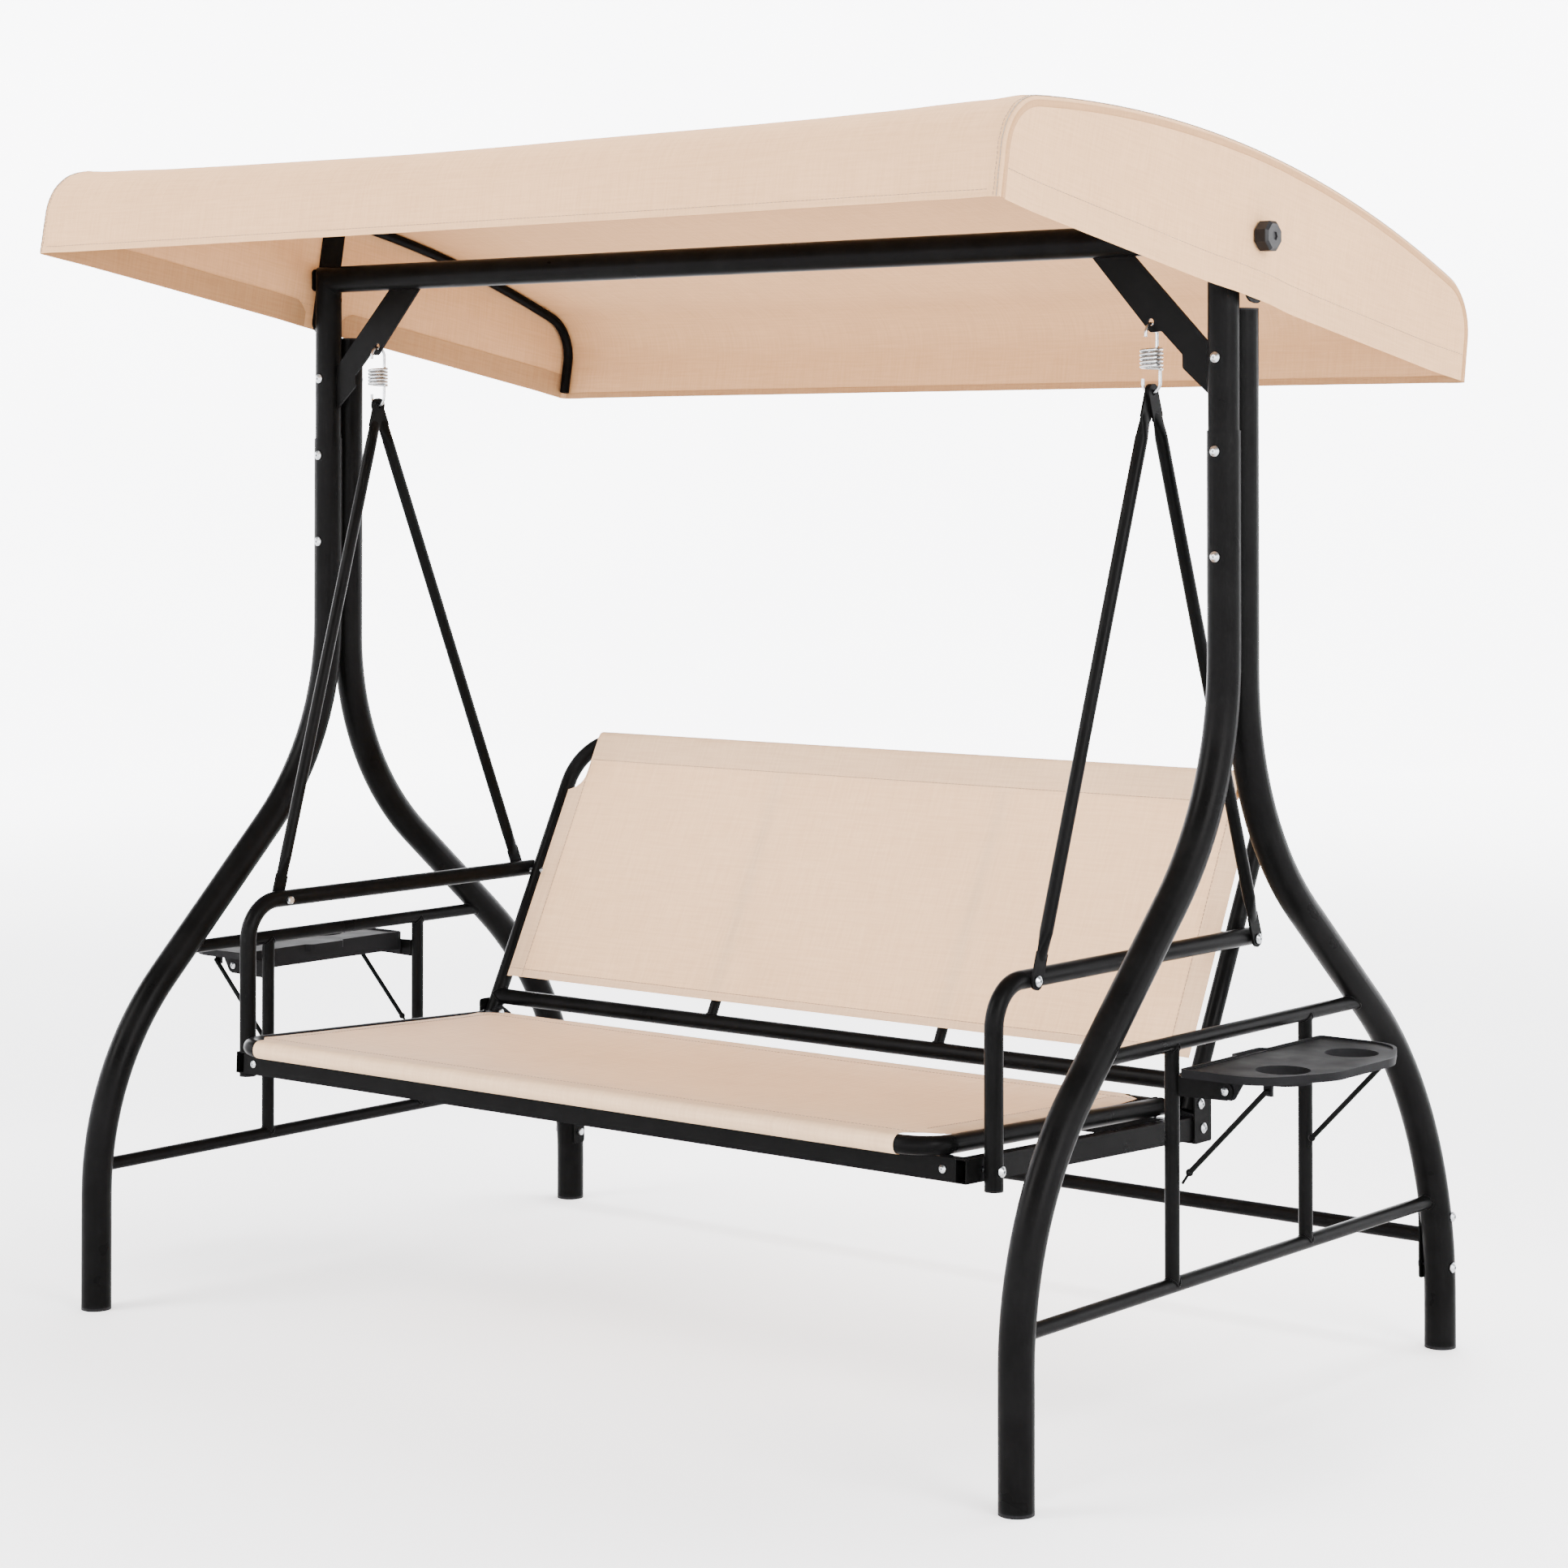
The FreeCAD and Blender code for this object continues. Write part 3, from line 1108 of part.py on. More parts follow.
def make_tray(side_name, side):
    """Moulded D-shaped tray with a rim, an inner skirt, hinge ears and two cup holes."""
    name = "tray_" + side_name
    half = size["tray_half"]
    inner = size["tray_inner"]
    outer = size["tray_outer"]
    top = size["tray_top"]
    slab = body("TraySlab")
    points, radii = tray_outline(half, outer, inner)
    sketch = sketch_on(slab, "XY_Plane")
    outline(sketch, [(side * px, py) for px, py in points], radii)
    pad(slab, sketch, "Sizes.tray_slab", symmetric=False)
    doc.recompute()
    rim = 4.0
    points, radii = tray_outline(half - rim, outer - rim, inner + rim)
    lowered = sketch_on(slab, "XY_Plane", Vector(0, 0, size["tray_slab"] - 3.0))
    outline(lowered, [(side * px, py) for px, py in points], radii)
    hollow = slab.newObject("PartDesign::Pocket", "TrayRecess")
    hollow.Profile = lowered
    hollow.Length = 10.0
    hollow.Reversed = True
    doc.recompute()
    slab.Placement = Placement(Vector(0, size["tray_y"], top - size["tray_slab"]), Rotation())
    pieces = [slab]
    ear_front, ear_rear = ear_planes()
    skirt = doc.addObject("Part::Box", "TraySkirt")
    skirt.Length = 3.0
    skirt.Width = ear_rear - ear_front
    skirt.Height = 32.0
    skirt_x = inner + 16 if side > 0 else -(inner + 19)
    skirt.Placement = Placement(Vector(skirt_x, ear_front, top - size["tray_slab"] - 22), Rotation())
    pieces.append(skirt)
    for plane, inward in ((ear_front, 1), (ear_rear, -1)):
        ear = body("TrayEar")
        sketch = sketch_on(ear, "XZ_Plane")
        low = size["tray_pivot_z"] - 13
        outline(sketch, [(side * (inner + 16), low), (side * (size["tray_pivot_x"] + 13), low),
                         (side * (size["tray_pivot_x"] + 32), top - size["tray_slab"] + 1),
                         (side * (inner + 16), top - size["tray_slab"] + 1)], [0, 10, 0, 0])
        pad(ear, sketch, "3.0")
        ear.Placement = Placement(Vector(0, plane + inward * 1.5, 0), Rotation())
        pieces.append(ear)
    for place in (-1, 1):
        centre = tray_point(side, size["cup_x"], size["tray_y"] + place * size["cup_y"], top - size["cup_deep"])
        pieces.append(rod("CupCollar", "Sizes.cup_dia / 2 + 2.5", centre, centre + Z_AXIS * (size["cup_deep"] - 3)))
        lug_y = brace_plane(place) - place * 7
        lug = doc.addObject("Part::Box", "BraceLug")
        lug.Length = 14.0
        lug.Width = 5.0
        lug.Height = top - size["tray_slab"] + 1 - (size["brace_z"] - 7)
        lug.Placement = Placement(tray_point(side, size["brace_x"], lug_y, size["brace_z"] - 7) - Vector(7, 2.5, 0),
                                  Rotation())
        pieces.append(lug)
    welded = doc.addObject("Part::MultiFuse", "TrayBlank")
    welded.Shapes = pieces
    tools = []
    for place in (-1, 1):
        centre = tray_point(side, size["cup_x"], size["tray_y"] + place * size["cup_y"], top)
        tools.append(rod("CupHole", "Sizes.cup_dia / 2", centre - Z_AXIS * 60, centre + Z_AXIS * 10))
        pin = tray_point(side, size["brace_x"], brace_plane(place), size["brace_z"])
        tools.append(rod("LugHole", "Sizes.brace_dia / 2 + 0.05", pin - Y_AXIS * 12, pin + Y_AXIS * 12))
    pivot = tray_point(side, size["tray_pivot_x"], 0, size["tray_pivot_z"])
    tools.append(rod("EarHole", "3.05", pivot - Y_AXIS * 260, pivot + Y_AXIS * 260))
    keep(cut("TrayDrilled", welded, tools), name)


def bracket_planes():
    """Middle planes of the two steel tray brackets, in line with the uprights."""
    return size["upright_front_y"], size["upright_rear_y"] - 6.0


BRACKET_THICK = 3.0


def ear_planes():
    """Outer faces of the tray's hinge ears, just inside the steel brackets."""
    front, rear = bracket_planes()
    gap = BRACKET_THICK / 2 + 0.3
    return front + gap, rear - gap


def brace_plane(place):
    """Plane of the front (-1) or rear (+1) brace."""
    front, rear = bracket_planes()
    return front + 12 if place < 0 else rear - 12


def make_tray_brackets():
    """Steel plates welded to the uprights, each with the hole of a hinge bolt."""
    plates = []
    for side in (1, -1):
        for y in bracket_planes():
            plate = body("TrayBracket")
            sketch = sketch_on(plate, "XZ_Plane")
            x = size["tray_pivot_x"]
            z = size["tray_pivot_z"]
            start = size["leg_x"] + size["rail_dia"] / 2 + (0.1 if y == size["upright_front_y"] else -0.9)
            outline(sketch, [(side * start, z - 15), (side * (x + 13), z - 13), (side * (x + 13), z + 13),
                             (side * start, z + 15)], [0, 12.5, 12.5, 0])
            pad(plate, sketch, str(BRACKET_THICK))
            hole = sketch_on(plate, "XZ_Plane")
            bound_circle(hole, (side * x, z), 3.05, "3.05")
            pocket_through(plate, hole)
            plate.Placement = Placement(Vector(0, y, 0), Rotation())
            plates.append(plate)
    keep(group("tray_brackets", plates), "tray_brackets")


def make_tray_bolts():
    """Hinge bolts of both trays, fixed in the brackets."""
    master = bolt("TrayBolt", BRACKET_THICK + 4.2, "small_bolt", "small_head", head_tall=3.5, nut_tall=4.5)
    front, rear = bracket_planes()
    seats = []
    for side in (1, -1):
        x = side * size["tray_pivot_x"]
        seats.append((Vector(x, front - BRACKET_THICK / 2, size["tray_pivot_z"]), Y_AXIS))
        seats.append((Vector(x, rear + BRACKET_THICK / 2, size["tray_pivot_z"]), Y_AXIS * -1))
    fastener_group("tray_bolts", [(master, seats)])


def make_braces(side_name, side):
    """Two rods pinned under the tray, each with a wire hook that rests against its upright."""
    rods = []
    for place in (-1, 1):
        y = brace_plane(place)
        pin = tray_point(side, size["brace_x"], y, size["brace_z"])
        foot = tray_point(side, size["brace_foot_x"], y, size["brace_foot_z"])
        shank = rod("BraceShank", "Sizes.brace_dia / 2", pin, foot)
        ball = doc.addObject("Part::Sphere", "BraceElbow")
        ball.setExpression("Radius", "Sizes.brace_dia / 2")
        ball.Placement = Placement(pin, Rotation())
        cross = rod("BracePin", "Sizes.brace_dia / 2", pin, pin - Y_AXIS * place * 12)
        tip = tray_point(side, size["leg_x"] + size["rail_dia"] / 2 + 3.5, y + place * 8, size["brace_foot_z"] - 16)
        knuckle = doc.addObject("Part::Sphere", "BraceKnuckle")
        knuckle.setExpression("Radius", "Sizes.brace_dia * 0.7")
        knuckle.Placement = Placement(foot, Rotation())
        hook = rod("BraceHook", "2.0", foot, tip)
        brace = doc.addObject("Part::MultiFuse", "Brace")
        brace.Shapes = [shank, ball, cross, knuckle, hook]
        rods.append(brace)
    keep(group("Braces", rods), "braces_" + side_name)


# ---------------------------------------------------------------- build and write


def build_all():
    for side_name, side in SIDES:
        make_side_frame(side_name, side)
    make_foot_caps()
    make_rear_leg_caps()
    make_crossbar()
    make_top_frame()
    for side_name, side in SIDES:
        make_gusset(side_name, side)
    make_pivot_plate_and_stud()
    make_stand_fasteners()
    for side_name, side in SIDES:
        make_arch(side_name, side)
        make_strip(side_name, side)
        make_knob(side_name, side)
        make_spring(side_name, side)
        for kind in ("front", "rear"):
            make_hanger(side_name, side, kind)
        make_arm(side_name, side)
        make_tray(side_name, side)
        make_braces(side_name, side)
    make_cover()
    make_arm_caps()
    make_seat_tubes()
    make_seat_bars()
    make_seat_sling()
    make_back_frame()
    make_back_sling()
    make_hinge_brackets()
    make_seat_fasteners()
    make_tray_brackets()
    make_tray_bolts()


def check_and_write():
    """Stop on any failed object, then write each sub-part to its own file."""
    doc.recompute()
    for thing in doc.Objects:
        if "Invalid" in thing.State or "Error" in thing.State:
            raise RuntimeError("failed object: %s %s" % (thing.Label, thing.State))
    os.makedirs("parts", exist_ok=True)
    for part in parts:
        shape = part.Shape
        if shape.isNull() or not shape.isValid():
            raise RuntimeError("bad shape: " + part.Label)
        shape.exportStep("parts/%s.step" % part.Label)
        print("%-24s solids %2d volume %10.0f mm3" % (part.Label, len(shape.Solids), shape.Volume))
    print(len(parts), "nodes")


build_all()
check_and_write()
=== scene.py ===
"""Looks of a three-seat canopy swing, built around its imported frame.

Cloth, sling, spring and weld pieces are made here in metres, in the frame's own coordinates, and every surface
gets a node-based finish. Run as a script; laid out as an add-on so each group of pieces is one operator.
"""
import json
import math

import bpy
import numpy as np
from mathutils import Matrix, Vector, noise


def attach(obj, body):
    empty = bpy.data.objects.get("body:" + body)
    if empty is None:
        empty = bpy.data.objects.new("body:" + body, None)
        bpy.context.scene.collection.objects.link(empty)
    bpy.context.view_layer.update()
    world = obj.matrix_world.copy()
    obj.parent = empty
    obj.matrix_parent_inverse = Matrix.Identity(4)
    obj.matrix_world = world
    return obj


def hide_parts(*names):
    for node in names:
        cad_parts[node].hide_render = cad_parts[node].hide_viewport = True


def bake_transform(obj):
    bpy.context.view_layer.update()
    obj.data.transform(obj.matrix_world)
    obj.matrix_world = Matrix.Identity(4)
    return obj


bl_info = {
    "name": "Canopy Swing Finish",
    "version": (1, 0, 0),
    "blender": (4, 5, 0),
    "location": "3D View > Sidebar > Swing",
    "description": "Cloth, springs, welds and finishes of a three-seat canopy swing",
    "category": "Object",
}

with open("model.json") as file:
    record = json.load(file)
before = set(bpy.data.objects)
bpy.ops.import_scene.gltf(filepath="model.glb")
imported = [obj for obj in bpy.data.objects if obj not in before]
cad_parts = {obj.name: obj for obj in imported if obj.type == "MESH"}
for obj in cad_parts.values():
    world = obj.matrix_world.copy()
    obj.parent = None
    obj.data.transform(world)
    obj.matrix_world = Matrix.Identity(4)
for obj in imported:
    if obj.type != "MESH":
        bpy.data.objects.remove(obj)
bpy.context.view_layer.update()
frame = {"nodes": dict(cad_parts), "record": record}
SIDES = (("right", 1), ("left", -1))

# Fixed lines of the frame, in metres
BEAM_Z = 1.766
PIVOT_Y = 0.010
CANOPY_TILT = math.radians(9.7)
POST_Y = -0.026
SEAT_ORIGIN = Vector((0, -0.453, 0.4525))
SEAT_TILT = math.radians(-2.3)
SEAT_REAR = 0.596           # rear tube behind the front tube
BACK_ORIGIN = Vector((0, 0.212, 0.459))
BACK_LEAN = math.radians(-26.8)
BACK_TALL = 0.511           # top tube above the lower tube
TUBE = 0.014                # radius of seat and backrest tubes
CANOPY_HALF_WIDE = 0.9915   # outer face of the side panels
CANOPY_CORNERS = [(-0.6635, -0.094), (-0.6635, 0.049), (0, 0.188), (0.6635, 0.049), (0.6635, -0.094)]
CANOPY_RADII = [0, 0.090, 2.830, 0.090, 0]
CANOPY_STEP = 0.011         # spacing of points along the canopy's outline
CANOPY_EDGE = 0.006         # radius of the turned seam at the roof's sides
STRIP_GAP = 0.045           # the wide hems stop this far from the hanging strips' middle
SEAT_HALF, SEAT_HALF_ENDS = 0.7045, 0.668
SEAT_FADE = 0.10            # the seat sling's dip fades out over this length at both tubes
SKIN = 0.0009               # cloth face above the tube it lies on
BACK_FACE = -(TUBE + SKIN)
BACK_LOW, BACK_NOTCH = 0.036, 0.404
BACK_HALF, BACK_HALF_TOP = 0.733, 0.698
LEG_X, LEG_RADIUS = 0.950, 0.0254
RAIL_HEIGHTS = (0.589, 0.2405)
RAIL_RADIUS = 0.011
UPRIGHTS_Y = (-0.171, 0.205)
SPRING_X = 0.823
COIL_RADIUS = 0.0155
COIL_HIGH, COIL_LOW = 1.6025, 1.5715
COIL_TURNS = 5.25
HOOK_TOP = 1.640
WIRE = 0.0025

# Camera, in metres and degrees
CAMERA_PLACE = Vector((3.7481, -4.5445, 1.4142))
CAMERA_TURN = 38.818        # to the left of straight ahead
CAMERA_TIP = 0.928          # above level
CAMERA_SHIFT = -0.2348      # moves the view down without tipping the uprights


# ---------------------------------------------------------------- sizes and colours a user would change


class SwingClothProps(bpy.types.PropertyGroup):
    """Cut and hang of the three cloth pieces."""
    roof_sag: bpy.props.FloatProperty(name="Roof sag", description="How far the roof hangs between its arches",
                                      default=0.016, min=0, max=0.05, unit="LENGTH")
    side_sag: bpy.props.FloatProperty(name="Side sag", description="How far a side panel is drawn in by its hem",
                                      default=0.007, min=0, max=0.02, unit="LENGTH")
    pucker: bpy.props.FloatProperty(name="Corner pucker", description="Height of the folds beside a corner seam",
                                    default=0.0036, min=0, max=0.01, unit="LENGTH")
    side_hem: bpy.props.FloatProperty(name="Side hem", description="Width of the folded hem of a side panel",
                                      default=0.045, min=0.01, max=0.08, unit="LENGTH")
    front_hem: bpy.props.FloatProperty(name="Front hem", description="Width of the front and rear hems",
                                       default=0.014, min=0.005, max=0.04, unit="LENGTH")
    seat_sag: bpy.props.FloatProperty(name="Seat sag", description="Dip in the middle of the seat sling",
                                      default=0.009, min=0, max=0.04, unit="LENGTH")
    back_sag: bpy.props.FloatProperty(name="Back sag", description="Dip in the middle of the backrest sling",
                                      default=0.004, min=0, max=0.01, unit="LENGTH")
    sling_hem: bpy.props.FloatProperty(name="Sling hem", description="Width of the backrest sling's side hems",
                                       default=0.040, min=0.01, max=0.08, unit="LENGTH")


class SwingFinishProps(bpy.types.PropertyGroup):
    """Colours of the finishes, as sRGB."""
    steel: bpy.props.StringProperty(name="Steel", description="Powder coat of the tubes, as hex",
                                    default="#060606")
    canopy: bpy.props.StringProperty(name="Canopy", description="Canopy cloth, as hex", default="#B8926C")
    sling: bpy.props.StringProperty(name="Sling", description="Sling fabric, as hex", default="#CFAE8A")
    zinc: bpy.props.StringProperty(name="Zinc", description="Zinc plate of springs and bolts, as hex",
                                   default="#AEB1B3")
    plastic: bpy.props.StringProperty(name="Plastic", description="Moulded plastic, as hex", default="#0E0E0F")


class SwingStageProps(bpy.types.PropertyGroup):
    """Camera and light."""
    lens: bpy.props.FloatProperty(name="Lens", description="Focal length on a 36 mm wide sensor", default=81.66,
                                  min=20, max=200, unit="CAMERA")
    top_power: bpy.props.FloatProperty(name="Top light", description="Power of the large light overhead",
                                       default=900.0, min=0, unit="POWER")
    key_power: bpy.props.FloatProperty(name="Key light", description="Power of the light at the front left",
                                       default=540.0, min=0, unit="POWER")
    fill_power: bpy.props.FloatProperty(name="Fill light", description="Power of the light at the right",
                                        default=520.0, min=0, unit="POWER")


# ---------------------------------------------------------------- places


def canopy_point(x, along, up):
    """A point of the canopy: across, behind the pivot, above the pivot."""
    c, s = math.cos(CANOPY_TILT), math.sin(CANOPY_TILT)
    return Vector((x, PIVOT_Y + along * c + up * s, BEAM_Z - along * s + up * c))


def tilted(origin, angle, x, along, up):
    """A point of a part that is turned about X by angle at origin."""
    c, s = math.cos(angle), math.sin(angle)
    return Vector((x, origin.y + along * c - up * s, origin.z + along * s + up * c))


def seat_point(x, along, up):
    return tilted(SEAT_ORIGIN, SEAT_TILT, x, along, up)


def back_point(x, rearward, up):
    return tilted(BACK_ORIGIN, BACK_LEAN, x, rearward, up)


def smooth(value):
    """0 below 0, 1 above 1, and an even rise between."""
    value = min(1.0, max(0.0, value))
    return value * value * (3 - 2 * value)


def rounded(corners, radii, step):
    """Points every step along a path of straight runs whose inner corners are arcs."""
    points = []
    for index, corner in enumerate(corners):
        here, radius = Vector(corner), radii[index]
        if not radius:
            points.append(here)
            continue
        before = (Vector(corners[index - 1]) - here).normalized()
        after = (Vector(corners[index + 1]) - here).normalized()
        half = before.angle(after) / 2
        centre = here + (before + after).normalized() * radius / math.sin(half)
        start = here + before * radius / math.tan(half) - centre
        end = here + after * radius / math.tan(half) - centre
        turns = max(4, int(start.angle(end) * radius / step) + 1)
        for turn in range(turns + 1):
            points.append(centre + start.slerp(end, turn / turns).normalized() * radius)
    path = np.array([tuple(p) for p in points])
    reach = lengths_along(path)
    count = max(2, int(round(reach[-1] / step)))
    places = np.linspace(0, reach[-1], count + 1)
    return np.column_stack([np.interp(places, reach, path[:, k]) for k in range(path.shape[1])]), places


def outward(path, index, middle):
    """Unit normal of a flat path at a point, on the side away from middle."""
    low, high = max(0, index - 1), min(len(path) - 1, index + 1)
    run = path[high] - path[low]
    normal = np.array([run[1], -run[0]]) / (np.linalg.norm(run) or 1)
    return normal if np.dot(normal, path[index] - middle) > 0 else -normal


# ---------------------------------------------------------------- meshes


def new_piece(name, points, faces, material, cut=None):
    """A smooth-shaded mesh piece; cut is each point's place on the flat cloth, for the weave."""
    mesh = bpy.data.meshes.new(name)
    mesh.from_pydata([tuple(p) for p in points], [], faces)
    mesh.validate()
    mesh.shade_smooth()
    if cut is not None:
        layer = mesh.attributes.new("cut", "FLOAT_VECTOR", "POINT")
        layer.data.foreach_set("vector", np.array([(a, b, 0.0) for a, b in cut], np.float32).ravel())
    piece = bpy.data.objects.new(name, mesh)
    bpy.context.scene.collection.objects.link(piece)
    mesh.materials.append(material)
    return piece


def grid_faces(rows, columns, start=0, flip=False, skip=None):
    """Four-sided faces of a grid of points; skip(row, column) leaves a cell out."""
    faces = []
    for row in range(rows - 1):
        for column in range(columns - 1):
            if skip and skip(row, column):
                continue
            a = start + row * columns + column
            quad = (a, a + 1, a + columns + 1, a + columns)
            faces.append(quad[::-1] if flip else quad)
    return faces


def swept(points, radius, sides=10, closed=False, flat=1.0, up=None):
    """Points and faces of a round wire along a path; flat narrows it across up."""
    path = [Vector(p) for p in points]
    count = len(path)
    rings, normal = [], None
    for index, here in enumerate(path):
        ahead = path[(index + 1) % count] if closed or index < count - 1 else here
        behind = path[index - 1] if closed or index else here
        run = (ahead - behind).normalized()
        if up is not None:
            normal = Vector(up) - run * run.dot(Vector(up))
        elif normal is None:
            normal = run.orthogonal()
        else:
            normal = normal - run * run.dot(normal)
        normal.normalize()
        side = run.cross(normal)
        for turn in range(sides):
            angle = 2 * math.pi * turn / sides
            rings.append(here + normal * radius * flat * math.cos(angle) + side * radius * math.sin(angle))
    faces = []
    for index in range(count if closed else count - 1):
        low, high = index * sides, ((index + 1) % count) * sides
        for turn in range(sides):
            after = (turn + 1) % sides
            faces.append((low + turn, low + after, high + after, high + turn))
    if not closed:
        faces.append(tuple(range(sides))[::-1])
        faces.append(tuple(range((count - 1) * sides, count * sides)))
    return rings, faces


def gather(parts):
    """Joins lists of points and faces into one."""
    points, faces = [], []
    for more_points, more_faces in parts:
        shift = len(points)
        points += more_points
        faces += [tuple(i + shift for i in face) for face in more_faces]
    return points, faces


def lengths_along(points):
    """Distance of each point of a path from its start."""
    return np.concatenate([[0], np.cumsum(np.linalg.norm(np.diff(points, axis=0), axis=1))])


def dress(pieces, body):
    """Lets pieces ride on a body of the frame."""
    for piece in pieces:
        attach(piece, body)


def stitches(paths, long=0.0045, gap=0.0025, thick=0.0004):
    """Thread stitches laid along each path, drawn about half again as long as sewn ones so that they show."""
    parts = []
    for path in paths:
        points = np.array([tuple(p) for p in path])
        reach = lengths_along(points)
        place = gap
        while place + long < reach[-1]:
            ends = [[np.interp(place + far, reach, points[:, k]) for k in range(3)] for far in (0, long)]
            parts.append(swept(ends, thick, 5))
            place += long + gap
    return gather(parts)


# ---------------------------------------------------------------- finishes


def linear(code, factor=1.0):
    """sRGB hex to the linear colour that shaders take, made lighter or darker by factor."""
    parts = [int(code[i:i + 2], 16) / 255 for i in (1, 3, 5)]
    parts = [p / 12.92 if p <= 0.04045 else ((p + 0.055) / 1.055) ** 2.4 for p in parts]
    return tuple(min(1.0, p * factor) for p in parts) + (1.0,)


def add_node(tree, kind, settings=None, values=None, links=None):
    """Adds a node with its settings, its constant inputs and its links."""
    made = tree.nodes.new(kind)
    for name, value in (settings or {}).items():
        setattr(made, name, value)
    for name, value in (values or {}).items():
        made.inputs[name].default_value = value
    for name, source in (links or {}).items():
        tree.links.new(source, made.inputs[name])
    return made


def start_material(name):
    """An empty node material, its tree and its output."""
    material = bpy.data.materials.new(name)
    material.use_nodes = True
    material.node_tree.nodes.clear()
    return material, material.node_tree, add_node(material.node_tree, "ShaderNodeOutputMaterial")


def blotches(tree, place, feature, low, high, first, second, detail=3.0):
    """Two colours mixed by noise whose lumps are feature metres across."""
    cloud = add_node(tree, "ShaderNodeTexNoise", None, {"Scale": 1 / feature, "Detail": detail},
                     {"Vector": place})
    level = add_node(tree, "ShaderNodeMapRange", None, {"From Min": low, "From Max": high},
                     {"Value": cloud.outputs["Fac"]})
    mixed = add_node(tree, "ShaderNodeMix", {"data_type": "RGBA"}, {6: first, 7: second}, {0: level.outputs[0]})
    return mixed, cloud


def coated_metal_or_plastic(name, colour, light, roughness, grain, depth, metallic=0.0, specular=0.5,
                            lump=0.06):
    """A hard finish: large soft colour changes, a fine surface grain in the bump, and roughness that wanders."""
    material, tree, out = start_material(name)
    place = add_node(tree, "ShaderNodeTexCoord").outputs["Object"]
    tint, cloud = blotches(tree, place, lump, 0.35, 0.7, linear(colour), linear(colour, light))
    rough = add_node(tree, "ShaderNodeMapRange", None,
                     {"From Min": 0.3, "From Max": 0.7, "To Min": roughness - 0.05, "To Max": roughness + 0.07},
                     {"Value": cloud.outputs["Fac"]})
    skin = add_node(tree, "ShaderNodeTexNoise", None, {"Scale": 1 / grain, "Detail": 2.0}, {"Vector": place})
    bump = add_node(tree, "ShaderNodeBump", None, {"Strength": 0.35, "Distance": depth},
                    {"Height": skin.outputs["Fac"]})
    shader = add_node(tree, "ShaderNodeBsdfPrincipled", None,
                      {"Metallic": metallic, "Specular IOR Level": specular},
                      {"Base Color": tint.outputs[2], "Roughness": rough.outputs[0], "Normal": bump.outputs[0]})
    tree.links.new(shader.outputs[0], out.inputs[0])
    return material


def woven(name, colour, shade, thread, see_through, glow, rib, sheen, roughness, specular=0.25):
    """A woven cloth: crossing, uneven threads in colour and bump, soft dye changes and light through it."""
    material, tree, out = start_material(name)
    place = add_node(tree, "ShaderNodeAttribute", {"attribute_name": "cut"}).outputs["Vector"]
    waves = []
    for direction in ("X", "Y"):
        waves.append(add_node(tree, "ShaderNodeTexWave", {"bands_direction": direction, "wave_profile": "SIN"},
                              {"Scale": 0.314 / thread, "Distortion": 0.6, "Detail": 1.0, "Detail Scale": 2.0},
                              {"Vector": place}).outputs["Fac"])
    cross = add_node(tree, "ShaderNodeMath", {"operation": "MULTIPLY"}, None, {0: waves[0], 1: waves[1]})
    slubs = []
    for stretch in ((1 / (thread * 30), 1 / (thread * 1.6), 1.0), (1 / (thread * 1.6), 1 / (thread * 30), 1.0)):
        longer = add_node(tree, "ShaderNodeVectorMath", {"operation": "MULTIPLY"}, {1: stretch}, {0: place})
        slubs.append(add_node(tree, "ShaderNodeTexNoise", None, {"Scale": 1.0, "Detail": 1.0},
                              {"Vector": longer.outputs[0]}).outputs["Fac"])
    uneven = add_node(tree, "ShaderNodeMath", {"operation": "ADD"}, None, {0: slubs[0], 1: slubs[1]})
    level = add_node(tree, "ShaderNodeMapRange", None,
                     {"From Min": 0.7, "From Max": 1.3, "To Min": 0.0, "To Max": 1.0},
                     {"Value": uneven.outputs[0]})
    dyed, _ = blotches(tree, place, 0.30, 0.3, 0.7, linear(colour), linear(colour, shade), 2.0)
    threads = add_node(tree, "ShaderNodeMix", {"data_type": "RGBA", "blend_type": "MULTIPLY"},
                       {7: (1 - rib, 1 - rib * 1.1, 1 - rib * 1.2, 1.0)},
                       {0: level.outputs[0], 6: dyed.outputs[2]})
    height = add_node(tree, "ShaderNodeMath", {"operation": "MULTIPLY_ADD"}, {1: 0.6},
                      {0: cross.outputs[0], 2: uneven.outputs[0]})
    bump = add_node(tree, "ShaderNodeBump", None, {"Strength": 0.22, "Distance": 0.0006},
                    {"Height": height.outputs[0]})
    cloth = add_node(tree, "ShaderNodeBsdfPrincipled", None,
                     {"Roughness": roughness, "Specular IOR Level": specular, "Sheen Weight": sheen,
                      "Sheen Roughness": 0.5},
                     {"Base Color": threads.outputs[2], "Normal": bump.outputs[0]})
    through = add_node(tree, "ShaderNodeBsdfTranslucent", None, {"Color": linear(glow)})
    mixed = add_node(tree, "ShaderNodeMixShader", None, {0: see_through}, {1: cloth.outputs[0],
                                                                          2: through.outputs[0]})
    tree.links.new(mixed.outputs[0], out.inputs[0])
    return material


